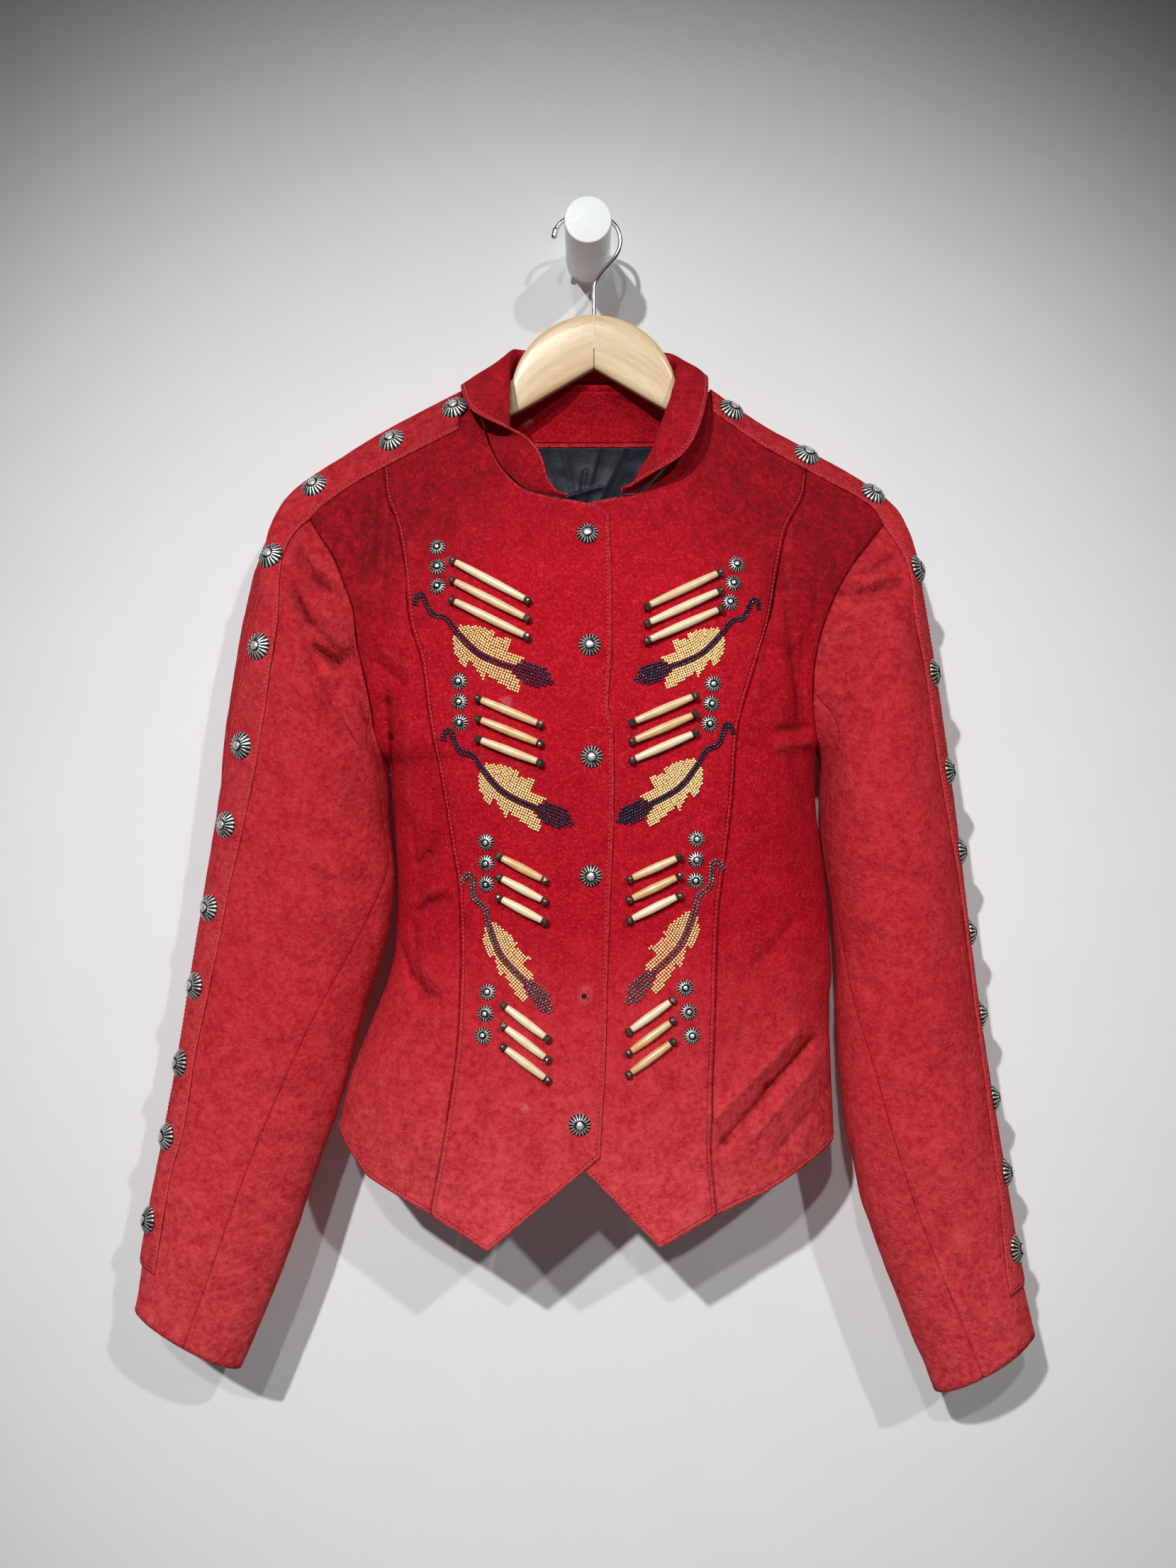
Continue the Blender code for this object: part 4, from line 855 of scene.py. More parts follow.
# Rows of the band over the shoulder, as shares of the fronts' height, and the centre front's share it covers
STRIP_ROWS = {"right": (1, 0.9814, 0.9463), "left": (1, 0.9916, 0.9684)}
STRIP_FROM = {"right": 0.84, "left": 0.83}
STRIP_BEHIND = 1.65 * (1 - np.array([0, 0.05, 0.14, 0.33, 0.55, 0.78])) ** 2
SIDE_SHARES = steps_between((0, 0.02, 0.06, 0.94, 0.98, 1), 0.019)
PUCKER, PUCKER_PITCH, PUCKER_REACH = 0.28, 1.9, 5
body_shapes, shoulder_rows = {}, {}
for side in ("right", "left"):
    inward, seam, hem_table, neck, point, edge_table = FRONT_LINES[side]
    columns = CENTRE_COLUMNS[side]
    fine = steps_between(columns["hem"], 0.0155)
    fine_top = np.interp(fine, columns["hem"], columns["top"])

    def top_z(x):
        return np.where(inward * (x - point) <= 0, shoulder_z(x), read(neck, "x", "z", x))

    def seam_x(shift):
        return lambda z: read(seam, "z", "x", z) + shift

    def edge_x(z):
        return read(edge_table, "z", "x", z)

    def hem_z(x):
        return np.interp(x, hem_table["x"], hem_table["z"])

    centre_lines = (edge_x, seam_x(inward * SEAM), hem_z, top_z)
    side_lines = (seam_x(-inward * SEAM), side_edge(side, "front"), hem_z, shoulder_z)
    x, z = panel(*centre_lines, fine, fine_top)
    y = front_y(x, z)
    if side == "left":
        rise = np.clip((x - read(PLACKET, "z", "x", z) - LAP_CLEAR) / LAP_RISE, 0, 1)
        y = y + LAP_SINK * (1 - rise * rise * (3 - 2 * rise))
    points = np.stack([x, y, z], axis=2)
    normals = grid_normals(points, (0, -1, 0))
    from_seam = arc_lengths(points, 0)[-1:] - arc_lengths(points, 0)
    wave = PUCKER * np.sin(arc_lengths(points, 1) / PUCKER_PITCH) * np.exp(-((from_seam / PUCKER_REACH) ** 2))
    points = pull_in(points, normals, ["last"]) + normals * wave[..., None]
    sewn = ["first", "last", "low"] if side == "right" else ["last", "low"]
    body_shapes["centre", side] = points, normals
    places = nap_places(points, ["first", "low", "top"], ["last"], sewn, *front_wear_and_shade(points))
    grid_sheet(f"front_centre_{side}", points, normals, places)
    x, z = panel(*side_lines, SIDE_SHARES, SIDE_SHARES)
    points = np.stack([x, front_y(x, z), z], axis=2)
    normals = grid_normals(points, (0, -1, 0))
    points = pull_in(points, normals, ["first"])
    points = pull_in(points, normals, ["last"], LIGHT_PULL)
    body_shapes["side", side] = points, normals
    places = nap_places(points, ["low"], ["first", "last"], ["low"], *front_wear_and_shade(points))
    grid_sheet(f"front_side_{side}", points, normals, places)
    # the band's rows over the shoulder, from just behind the ridge to its front edge
    low_share = np.interp(np.linspace(0, 1, 16), (0, 1), (STRIP_FROM[side], 1))
    rows = np.interp(np.linspace(1, 3, 10), (1, 2, 3), STRIP_ROWS[side])
    over = []
    for lines, low, top in (
        (centre_lines, low_share, np.interp(low_share, columns["hem"], columns["top"])),
        (side_lines, np.linspace(0.02, 0.96, 30), np.linspace(0.02, 0.96, 30)),
    ):
        x, z = panel(*lines, low, top, rows)
        front = np.stack([x, front_y(x, z), z], axis=2)
        ridge = front[:, :1]
        bx = np.repeat(ridge[..., 0], len(STRIP_BEHIND), axis=1)
        bz = ridge[..., 2] - STRIP_BEHIND
        behind = np.stack([bx, back_y(bx, bz), bz], axis=2)
        over.append(np.concatenate([behind, front], axis=1))
    shoulder_rows[side] = np.concatenate(over).transpose(1, 0, 2)

fine = steps_between((0, 0.004, 0.012, 0.298, 0.669, 0.988, 0.996, 1), 0.0125)
x, z = panel(
    side_edge("right", "back"),
    side_edge("left", "back"),
    lambda x: read(HEM_BACK, "x", "z", x),
    lambda x: shoulder_z(x) - BACK_NECK_DROP * np.maximum(1 - (x / 84) ** 2, 0),
    fine,
    fine,
)
points = np.stack([x, back_y(x, z), z], axis=2)
normals = grid_normals(points, (0, 1, 0))
points = pull_in(points, normals, ["first", "last"])
body_shapes["back", "both"] = points, normals
places = nap_places(points, ["low"], ["first", "last"], ["low"], hem_fading(points, *BACK_FADING))
grid_sheet("back", points, normals, places)

# Sleeves
# Two-piece set-in sleeves: a wide upper piece and a narrow under piece, seamed at the front and the back
# of the arm, eased into the armhole with small pleats, and bent a little at the elbow.

SLEEVE = {
    "right": table(
        "s     out_x  out_z  in_x   in_z   mid  front back",
        (0.00, -224, -193, -151, -404, -60, 42, 42),
        (0.02, -231, -201, -151.5, -405.5, -60, 44, 43),
        (0.06, -240, -221, -152, -409, -61, 47, 45),
        (0.14, -254, -262, -152, -417, -61, 50, 46),
        (0.24, -266, -316, -151.5, -432, -61, 50, 46),
        (0.34, -274, -372, -149.5, -456, -61, 47, 45),
        (0.46, -281, -436, -146.5, -487, -62, 42, 42),
        (0.58, -290, -503, -151, -527, -63, 38, 38),
        (0.68, -299, -563, -167, -584, -65, 36, 36),
        (0.78, -308, -625, -183, -644, -68, 34, 34),
        (0.87, -320, -692, -205, -711, -71, 31, 31),
        (0.94, -331, -752, -230, -784, -74, 28, 28),
        (1.00, -340, -811, -260, -856, -76, 25, 25),
    ),
    "left": table(
        "s     out_x  out_z  in_x   in_z   mid  front back",
        (0.00, 236, -208, 173.5, -394, -60, 44, 44),
        (0.02, 239.5, -217, 174, -395.5, -60, 46, 45),
        (0.06, 245, -236, 175.5, -398, -61, 49, 47),
        (0.14, 251, -272, 176.5, -408, -62, 52, 48),
        (0.24, 259, -322, 176.5, -428, -62, 53, 49),
        (0.34, 267, -375, 177, -456, -62, 52, 49),
        (0.46, 276, -441, 181, -488, -63, 49, 47),
        (0.58, 284, -508, 187, -533, -64, 45, 45),
        (0.68, 291, -567, 188, -590, -66, 42, 42),
        (0.78, 301, -638, 192, -655, -68, 39, 39),
        (0.87, 312, -708, 204, -722, -71, 36, 36),
        (0.94, 321, -766, 226, -788, -74, 32, 32),
        (1.00, 335, -830, 260.5, -873, -76, 27, 27),
    ),
}
STRIP = {
    "right": table(
        "s     middle half",
        (0.00, 18, 21),
        (0.06, 28, 18),
        (0.10, 42, 16.5),
        (0.14, 49, 16.5),
        (0.24, 50, 16.5),
        (0.34, 46, 16.5),
        (0.46, 37, 16),
        (0.58, 29, 15),
        (0.68, 26, 14.5),
        (0.78, 21, 14),
        (0.84, 24, 14),
        (0.89, 17, 14),
        (0.94, 19, 14),
        (1.00, 22, 14),
    ),
    "left": table(
        "s     middle half",
        (0.00, 8, 20),
        (0.06, 18, 17.5),
        (0.10, 26, 16.5),
        (0.14, 30, 16.5),
        (0.24, 25, 16.5),
        (0.34, 24, 16.5),
        (0.46, 18, 16),
        (0.58, 7, 15),
        (0.68, 5, 14.5),
        (0.78, 6, 14),
        (0.84, 10, 14),
        (0.89, 13, 14),
        (0.94, 21, 14),
        (1.00, 30, 14),
    ),
}
SLEEVE_SEAMS = table(
    "s  front_right back_right front_left back_left",
    (0.00, 127, 124, 122, 120),
    (0.08, 138, 130, 134, 128),
    (0.20, 155, 140, 160, 142),
    (0.40, 164, 145, 172, 148),
    (0.52, 150, 135, 168, 140),
    (0.64, 130, 122, 150, 128),
    (0.76, 112, 112, 125, 116),
    (0.88, 100, 104, 112, 108),
    (1.00, 92, 98, 100, 100),
)
ARMHOLE_ROWS = {
    "right": {
        "front": (-193, -202, -219, -246, -280, -320, -362, -383, -398, -404),
        "back": (-194.4, -232, -272, -315, -355, -378, -395, -404),
    },
    "left": {
        "front": (-208, -212, -223, -246, -276, -312, -350, -370, -385, -394),
        "back": (-210, -243, -276, -312, -348, -370, -385, -394),
    },
}
JOIN = 0.1

# Creases of the sleeves: place along and round (0 degrees is the outer line, 90 the front), how deep, how
# long along and round, and how far each slants
BEHIND_CREASES = (
    (0.30, 250, 3, 0.02, 30, 0.0010),
    (0.42, 240, 3, 0.02, 34, -0.0008),
    (0.53, 255, 3, 0.02, 30, 0.0008),
    (0.66, 250, 2, 0.018, 30, -0.0006),
)
SLEEVE_CREASES = {
    "right": table(
        "s   angle depth width_s width_angle slant",
        (0.085, 95, 6, 0.03, 32, 0),
        (0.16, 120, 7, 0.03, 26, 0),
        (0.60, 150, 4, 0.04, 22, 0),
        (0.66, 165, 4, 0.04, 20, 0),
        (0.045, 70, 2.2, 0.010, 22, 0.0006),
        (0.072, 82, -2.0, 0.010, 26, 0.0008),
        (0.115, 100, 2.8, 0.012, 30, 0.0010),
        (0.145, 96, -2.2, 0.014, 24, 0.0006),
        (0.195, 118, 2.4, 0.013, 22, -0.0010),
        (0.235, 135, 2.2, 0.013, 20, 0.0012),
        (0.27, 130, -1.5, 0.016, 24, 0.0010),
        (0.33, 140, 1.6, 0.016, 22, 0.0012),
        (0.50, 130, 1.8, 0.014, 30, -0.0008),
        (0.54, 140, -1.5, 0.014, 26, -0.0006),
        (0.62, 112, 1.6, 0.012, 26, 0.0010),
        (0.70, 120, -1.2, 0.014, 24, 0.0010),
        (0.745, 100, 1.2, 0.012, 26, -0.0008),
        (0.80, 110, 1.3, 0.012, 30, 0.0006),
        *BEHIND_CREASES,
    ),
    "left": table(
        "s   angle depth width_s width_angle slant",
        (0.10, 110, 6, 0.03, 30, 0),
        (0.19, 125, 4, 0.03, 26, 0),
        (0.60, 150, 4, 0.04, 22, 0),
        (0.90, 75, 3, 0.03, 26, 0),
        (0.05, 78, 1.8, 0.011, 24, 0.0008),
        (0.085, 90, -1.8, 0.011, 26, 0.0010),
        (0.125, 84, 1.5, 0.012, 24, 0.0008),
        (0.155, 118, 1.8, 0.012, 24, -0.0008),
        (0.23, 130, -1.4, 0.015, 24, 0.0010),
        (0.29, 135, 1.5, 0.016, 22, 0.0012),
        (0.49, 140, 1.8, 0.014, 26, 0.0010),
        (0.56, 128, -1.4, 0.014, 26, -0.0008),
        (0.65, 120, 1.6, 0.013, 28, 0.0008),
        (0.74, 108, 1.2, 0.012, 30, -0.0010),
        (0.935, 62, 1.6, 0.010, 24, -0.0012),
        (0.865, 84, -1.6, 0.012, 26, -0.0012),
        *BEHIND_CREASES,
    ),
}

# Creases on the front of each sleeve as they fall below the band and at the bend of the arm
SLEEVE_FOLDS = {
    "right": table(
        "x_top z_top x_low z_low depth width",
        (-215, -244, -202, -266, 6.0, 5),
        (-202, -266, -188, -275, 8.0, 5),
        (-188, -275, -174, -278, 8.0, 5),
        (-204, -250, -182, -262, -3.0, 8),
        (-216, -277, -206, -298, 7.5, 4.5),
        (-206, -298, -188, -315, 8.5, 4.5),
        (-198, -290, -180, -300, -5.5, 8),
        (-200, -318, -186, -328, 12.0, 5),
        (-186, -328, -170, -322, 12.0, 5),
        (-194, -310, -172, -312, -6.0, 7),
        (-192, -340, -172, -340, -2.5, 8),
        (-167, -360, -155, -409, 4.0, 6),
        (-155, -409, -154, -458, 3.5, 6),
        (-178, -352, -168, -405, -2.2, 8),
        (-214, -352, -206, -376, 2.0, 6),
        (-226, -344, -222, -372, -1.6, 7),
        (-194, -490, -188, -520, 2.2, 6),
        (-206, -470, -184, -486, -1.8, 7),
        (-240, -540, -200, -552, 1.6, 7),
        (-242, -682, -209, -686, 2.2, 4),
        (-250, -640, -214, -648, 1.4, 8),
        (-262, -730, -232, -744, 1.4, 7),
    ),
    "left": table(
        "x_top z_top x_low z_low depth width",
        (188, -276, 213, -274, 8.0, 4.5),
        (213, -274, 229, -269, 7.0, 4.5),
        (186, -267, 218, -265, -4.0, 5),
        (199, -261, 215, -256, 5.5, 4),
        (215, -256, 226, -248, 5.5, 4),
        (172, -313, 189, -300, -2.8, 5),
        (172, -320, 194, -306, 3.0, 5),
        (192, -290, 222, -286, -2.8, 9),
        (166, -352, 172, -415, 3.5, 7),
        (172, -415, 183, -493, 3.0, 7),
        (186, -350, 192, -420, -2.0, 9),
        (208, -482, 240, -487, 2.0, 7),
        (200, -516, 226, -528, -1.6, 8),
        (196, -560, 220, -580, 1.8, 7),
        (214, -640, 250, -652, 1.5, 8),
        (273, -772, 291, -797, 4.0, 7),
        (258, -776, 276, -806, -2.2, 7),
        (240, -730, 268, -742, 1.4, 7),
    ),
}


def sleeve_section(side, s, angle):
    """Points of the sleeve's oval section: 0 degrees is its outer line, 180 its inner one."""
    tab, creases = SLEEVE[side], SLEEVE_CREASES[side]
    out = np.stack([read(tab, "s", "out_x", s), 0 * s, read(tab, "s", "out_z", s)], axis=-1)
    inner = np.stack([read(tab, "s", "in_x", s), 0 * s, read(tab, "s", "in_z", s)], axis=-1)
    turn = np.radians(angle)
    depth = np.where(np.sin(turn) > 0, read(tab, "s", "front", s), read(tab, "s", "back", s))
    for at, where, deep, long, wide, slant in zip(*creases.values()):
        ds = (s - at - slant * (angle % 360 - where)) / long
        da = (angle % 360 - where) / wide
        depth = depth - deep * np.exp(-ds * ds - da * da)
    middle = (out + inner) / 2 + (out - inner) / 2 * np.cos(turn)[..., None]
    middle[..., 1] = read(tab, "s", "mid", s) - depth * np.sin(turn)
    return middle


def strip_edges(side, s):
    middle, half = read(STRIP[side], "s", "middle", s), read(STRIP[side], "s", "half", s)
    ahead, behind = sleeve_section(side, s, middle + 5), sleeve_section(side, s, middle - 5)
    size = np.linalg.norm(ahead - behind, axis=-1) / 10
    return middle - half / size, middle + half / size


# Shares round the sleeve: the band's two edges, the front seam, the inner line and the back seam
ROUND = (0, 3, 7, 10, 13, 17)


def round_angles(side, s, share):
    """The angle of each share round the sleeve, at each place along it."""
    back_edge, front_edge = strip_edges(side, s)
    front = read(SLEEVE_SEAMS, "s", f"front_{side}", s)
    back = 360 - read(SLEEVE_SEAMS, "s", f"back_{side}", s)
    stops = (back_edge, front_edge, front, np.full_like(s, 180.0), back, 360 + back_edge)
    angle = np.zeros((len(share), len(s)))
    for k in range(5):
        inside = (share >= ROUND[k]) & (share <= ROUND[k + 1])
        t = ((share - ROUND[k]) / (ROUND[k + 1] - ROUND[k]))[:, None]
        angle = np.where(inside[:, None], stops[k] + (stops[k + 1] - stops[k]) * t, angle)
    return angle


def armhole_loop(side, share):
    """The armhole's points at each share round the sleeve."""
    rows = ARMHOLE_ROWS[side]
    armhole = ARMHOLE_RIGHT if side == "right" else ARMHOLE_LEFT
    places = [rows["back"][0], *rows["front"], *rows["back"][-2:0:-1], rows["back"][0]]
    z = np.interp(share, range(len(places)), places)
    in_front = (share >= 1) & (share <= 10)
    x = np.where(in_front, read(armhole, "z", "front", z), read(armhole, "z", "back", z))
    y = np.where(in_front, front_y(x, z), back_y(x, z))
    outward = -SEAM if side == "right" else SEAM
    return np.stack([x + outward, y, z], axis=-1)


SLEEVE_STEPS = np.concatenate([[0, 0.003, 0.007, 0.013], steps_between((0.02, 0.1, 1), 0.0039)])


def sleeve_points(side, share, steps=SLEEVE_STEPS):
    angle = round_angles(side, steps, share)
    s = np.broadcast_to(steps, angle.shape)
    points = sleeve_section(side, s, angle)
    start = sleeve_section(side, np.zeros(len(share)), round_angles(side, np.zeros(1), share)[:, 0])
    keep = np.maximum(1 - steps / JOIN, 0) ** 1.5
    shift = armhole_loop(side, share) - start
    points = points + shift[:, None, :] * keep[None, :, None]
    in_front = np.clip(np.sin(np.radians(angle)) * 1.8 - 0.25, 0, 1) * np.minimum(steps / 0.03, 1)
    sink = fold_depth(points[..., 0], points[..., 2], SLEEVE_FOLDS[side])
    points[..., 1] += sink * in_front
    return points


# Where a sleeve is darker below its head and inside the bend of the arm, and faded above its cuff: the
# place where it starts or is strongest, and how far it reaches
HEAD_Z, HEAD_REACH = -400, 170
INNER_X, INNER_WIDE, INNER_Z, INNER_REACH = 178, 34, -620, 200
CUFF_REACH = 260
CREASED_Y = -70  # the table's creases show in front of this depth
SLEEVE_PIECES = {
    "under": steps_between((7, 7.04, 7.12, 10, 12.88, 12.96, 13), 0.15),
    "upper": steps_between((13, 13.04, 13.12, 17, 20, 23.88, 23.96, 24), 0.12),
}
for side in ("right", "left"):
    axis_line = sleeve_points(side, np.linspace(0, 16, 17)).mean(axis=0)
    for name, share in SLEEVE_PIECES.items():
        points = sleeve_points(side, np.where(share > 17, share - 17, share))
        normals = grid_normals(points, points - axis_line)
        settled = np.clip(edge_distance(points, ["first", "last"]) / 9, 0, 1)
        settled *= np.clip((SLEEVE_STEPS - 0.02) / 0.05, 0, 1)
        round_x, round_z = points[..., 0] + 0.8 * points[..., 1], points[..., 2]
        waves = uneven(round_x, round_z, (0.6, 31, 44), (0.26, 32, 17))
        points = points + normals * (waves * settled)[..., None]
        points = pull_in(points, normals, ["first", "last"])
        points = pull_in(points, normals, ["low"], LIGHT_PULL)
        x, y, z = np.moveaxis(points, 2, 0)
        near_head = np.clip((z - HEAD_Z) / HEAD_REACH, 0, 1)
        near_cuff = np.clip((z.min() + CUFF_REACH - z) / CUFF_REACH, 0, 1)
        inner = np.clip(1 - abs(abs(x) - INNER_X) / INNER_WIDE, 0, 1)
        inner *= np.clip((z - INNER_Z) / INNER_REACH, 0, 1)
        # Along the creases the darkening is painted shade in the troughs, and the fading gives paler crests,
        # partly wear and partly a painted highlight
        crease_shade, wear = crease_shade_and_crest_light(x, z, SLEEVE_FOLDS[side])
        front = y < CREASED_Y
        fade = 0.34 + 0.50 * near_cuff + wear * front
        darkening = 0.03 + 0.34 * near_head + 0.16 * inner + crease_shade * front
        places = nap_places(points, ["top"], ["first", "last", "low"], (), fade, darkening)
        grid_sheet(f"sleeve_{name}_{side}", points, normals, places)

# Bands
# A narrow band lies over each shoulder and down the outside of the sleeve. It is stitched along both
# edges, squared at its end, and has faded more than the rest.

STRIP_OUTER = 2.3
STRIP_THICK = 1.3
STRIP_END = 0.965
BAND_ROW = 2.7  # the stitches' way in from the band's edge
STRIP_SIDES = ["first", "last", "top"]
ACROSS = np.array([0, 0.05, 0.14, 0.33, 0.55, 0.78, 1, 1.3, 1.6, 1.9, 2.2, 2.5, 2.75, 2.87, 2.95, 3])


def smoothed(points, passes):
    """Evens a grid of points along its length."""
    for _ in range(passes):
        points[:, 1:-1] = points[:, 1:-1] / 2 + (points[:, :-2] + points[:, 2:]) / 4
    return points


strip_shapes = {}
for side in ("right", "left"):
    over, steps = shoulder_rows[side], SLEEVE_STEPS[SLEEVE_STEPS <= STRIP_END]
    down = sleeve_points(side, ACROSS, steps)
    points = smoothed(np.concatenate([over, down], axis=1), 3)
    away = np.zeros_like(points) + (0, -1, 0)
    away[:, over.shape[1] :, 0] += 0.02 * points[:, over.shape[1] :, 0]
    away[:, : over.shape[1]] += (0, 0, 1)
    normals = grid_normals(points, away)
    rim = edge_distance(points, STRIP_SIDES)
    edge, row = np.exp(-((rim / 1.0) ** 2)), np.exp(-(((rim - BAND_ROW) / 0.7) ** 2))
    lift = STRIP_OUTER - 0.7 * edge - 0.25 * row
    lift += 0.12 * ripple(points[..., 2], points[..., 0], 8, 14)
    points = points + normals * lift[..., None]
    strip_shapes[side] = points, normals
    faded = 0.14 + 0.46 * np.clip(-points[..., 2] / 800, 0, 1)
    # The band is darker towards the top of the shoulder
    darkened = 0.10 + 0.42 * np.clip((points[..., 2] + 240) / 120, 0, 1)
    places = nap_places(points, STRIP_SIDES, (), STRIP_SIDES, faded, darkened)
    finish = {"material": SUEDE_WORN, "thickness": STRIP_THICK, "allowance": 0.0}
    grid_sheet(f"strip_{side}", points, normals, places, **finish)

# Collar
# A small turned collar: it stands at the wearer's right front, and elsewhere folds over a soft roll to a
# leaf with a stitched edge.

COLLAR = table(
    "nx     nz      fx     fy    fz      ex     ey    ez",
    (-17, -208, -16.6, -104, -206.6, -16, -105, -206.0),
    (-32, -205, -27.8, -105, -203.4, -23, -106.5, -202.4),
    (-46, -201, -37.7, -105.5, -197.5, -29.3, -107.5, -193.5),
    (-56, -193, -44, -106, -187.2, -33, -108.5, -180.8),
    (-64, -184, -50, -106, -178.9, -37.6, -109, -171.5),
    (-71, -172, -54.5, -103, -168.9, -46.5, -109.5, -163),
    (-75.5, -160, -56.5, -97, -156.7, -60.5, -110, -156.5),
    (-79.7, -147.5, -56.5, -86, -143, -74, -107, -150),
    (-82.5, -136, -57.4, -74, -127, -86, -97, -141.5),
    (-85.2, -122, -58, -63, -111.5, -93, -77, -128),
    (-85, -110.6, -57, -54, -98, -97, -46, -111),
    (-76, -108.2, -53, -43.5, -87, -87.5, -31, -114.6),
    (-64, -107.8, -48.5, -40, -83, -76, -23.5, -118),
    (-50, -107.4, -42, -36, -80, -60, -22, -121),
    (-20, -108.2, -17, -33, -77.5, -22, -18.5, -123.5),
    (14, -108.2, 16, -32, -77.5, 20, -18, -123.5),
    (48, -107.4, 46, -34, -79.5, 57, -21, -121),
    (61, -107.6, 54, -37.5, -82, 71, -25, -118),
    (72, -107.8, 61, -42, -87, 83, -31, -113.5),
    (80, -108, 65.5, -52, -96.5, 90.5, -52, -105.5),
    (80, -122, 64.5, -62, -111, 90, -77, -123),
    (76.5, -138, 61, -74, -124.5, 86.4, -96, -139.7),
    (72.5, -152, 56.4, -85, -139.5, 82, -108, -154.4),
    (67.2, -166, 51.2, -94, -153, 76.2, -114, -168),
    (59, -181, 46.7, -101, -168, 69, -117, -178),
    (50.5, -192.4, 40.8, -105, -179.7, 59.5, -118, -185),
    (42, -199.4, 35.6, -107, -188, 49.2, -117, -190.5),
    (35.4, -204.2, 31, -108, -196, 38, -114, -196.7),
    (30.5, -204.8, 27.6, -107, -200.6, 31.5, -111, -200),
    (25, -205.6, 24.4, -105.5, -203.6, 25.4, -107, -202.4),
)
COLLAR_ROLL = 6.0
COLLAR_BACK = (10, 19)
COLLAR_CLEAR = 2.2
COLLAR_LEAST = 2.4
COLLAR_ROW = 3.0  # the stitches' way in from the leaf's edge


def unit(v):
    return v / max(np.linalg.norm(v), 1e-9)


def refined(points, count, axis):
    """More points along one axis of a grid, on smooth curves through those given."""
    p = np.moveaxis(points, axis, 0)
    at = np.linspace(0, len(p) - 1, count)
    k = np.minimum(at.astype(int), len(p) - 2)
    t = (at - k)[:, None, None]
    a, b = p[k], p[k + 1]
    slope_a, slope_b = (b - p[np.maximum(k - 1, 0)]) / 2, (p[np.minimum(k + 2, len(p) - 1)] - a) / 2
    low = a * (1 + 2 * t) * (1 - t) ** 2 + slope_a * t * (1 - t) ** 2
    return np.moveaxis(low + b * t * t * (3 - 2 * t) - slope_b * t * t * (1 - t), 0, axis)


stations = len(COLLAR["nx"])
leaf = np.zeros((7, stations, 3))
lines = []
for j in range(stations):
    x, z = COLLAR["nx"][j : j + 1], COLLAR["nz"][j : j + 1]
    on_back = COLLAR_BACK[0] < j < COLLAR_BACK[1]
    seam = np.array([x[0], (back_y(x, z - 1) if on_back else front_y(x, z))[0], z[0]])
    fold = np.array([COLLAR["fx"][j], COLLAR["fy"][j], COLLAR["fz"][j]])
    edge = np.array([COLLAR["ex"][j], COLLAR["ey"][j], COLLAR["ez"][j]])
    stand, leaf_run = unit(fold - seam), unit(edge - fold)
    fold = seam + stand * max(np.linalg.norm(fold - seam), COLLAR_LEAST)
    edge = fold + leaf_run * max(np.linalg.norm(edge - fold), COLLAR_LEAST)
    lines.append((seam, fold, edge, stand, leaf_run))
for j, (seam, fold, edge, stand, leaf_run) in enumerate(lines):
    base = seam + stand * COLLAR_CLEAR
    turned_down = min(max(-np.dot(leaf_run, stand) - 0.2, 0) * 1.5, 1)
    roll = min(COLLAR_ROLL, 0.5 * np.linalg.norm(edge - fold))
    along = lines[min(j + 1, stations - 1)][1] - lines[max(j - 1, 0)][1]
    aside = unit(np.cross(stand, along))
    near_stand = fold - stand * min(4, np.linalg.norm(fold - base) * 0.45)
    near_leaf = fold + leaf_run * min(4, np.linalg.norm(edge - fold) * 0.45)
    apart = np.dot(near_leaf - near_stand, aside)
    near_leaf = near_leaf + aside * max(roll - apart, 0) * turned_down
    crown = (near_stand + near_leaf) / 2 + stand * 0.4 * roll * turned_down
    halfway = (near_leaf + edge) / 2 + aside * 1.6 * turned_down
    leaf[:, j] = base, base * 0.55 + near_stand * 0.45, near_stand, crown, near_leaf, halfway, edge
leaf = refined(refined(leaf, 240, 1), 37, 0)
normals = grid_normals(leaf, (0, 0, 1))
if normals[18, 120, 2] < 0:
    normals = -normals
rim = edge_distance(leaf, ["last"])
away = 0.35 * ripple(leaf[..., 0] + leaf[..., 1], leaf[..., 2], 12, 26) * np.clip(rim / 8, 0.2, 1)
away -= 0.3 * np.exp(-(((rim - COLLAR_ROW) / 0.9) ** 2))
leaf = leaf + normals * (0.8 + away)[..., None]
places = nap_places(leaf, ["last", "low", "top"], (), ["last"], 0.02, 0.62)
grid_sheet("collar", leaf, normals, places, held="folded", rests_on=["back", *ARMS])
collar_normals = normals

# Inside the neck
# The suede facing inside the back of the neck, and below it the dark navy satin lining, which is loose
# and lies in soft creases that catch the light.

FACING = {"half": 62, "top": -114, "low": -153, "inside": 3.6, "thick": 1.4}
LINING = {"half": 62, "top": -153.5, "low": -216, "inside": 3.4, "thick": 1.2}
LINING_CREASES = table(
    "x_top z_top x_low z_low depth width",
    (-36, -150, -20, -216, -1.8, 6),
    (-20, -150, -12, -190, -1.6, 5),
    (-2, -172, -10, -216, -2.4, 5),
    (10, -150, -4, -200, -1.6, 4),
    (30, -150, 2, -210, -1.8, 6),
    (44, -170, 26, -216, -1.8, 7),
    (-30, -196, 10, -184, -2.0, 4),
    (4, -204, 44, -192, -1.8, 5),
    (-46, -170, -30, -186, -1.6, 4),
)


def inside_back(size):
    across, up = np.linspace(-size["half"], size["half"], 90), np.linspace(size["low"], size["top"], 60)
    x, z = np.meshgrid(across, up, indexing="ij")
    return np.stack([x, back_y(x, z) - size["inside"], z], axis=2)


facing = inside_back(FACING)
normals = grid_normals(facing, (0, -1, 0))
places = nap_places(facing, ["low"], (), ["low"], 0.0, 0.1)
grid_sheet("neck_facing", facing, normals, places, thickness=FACING["thick"])

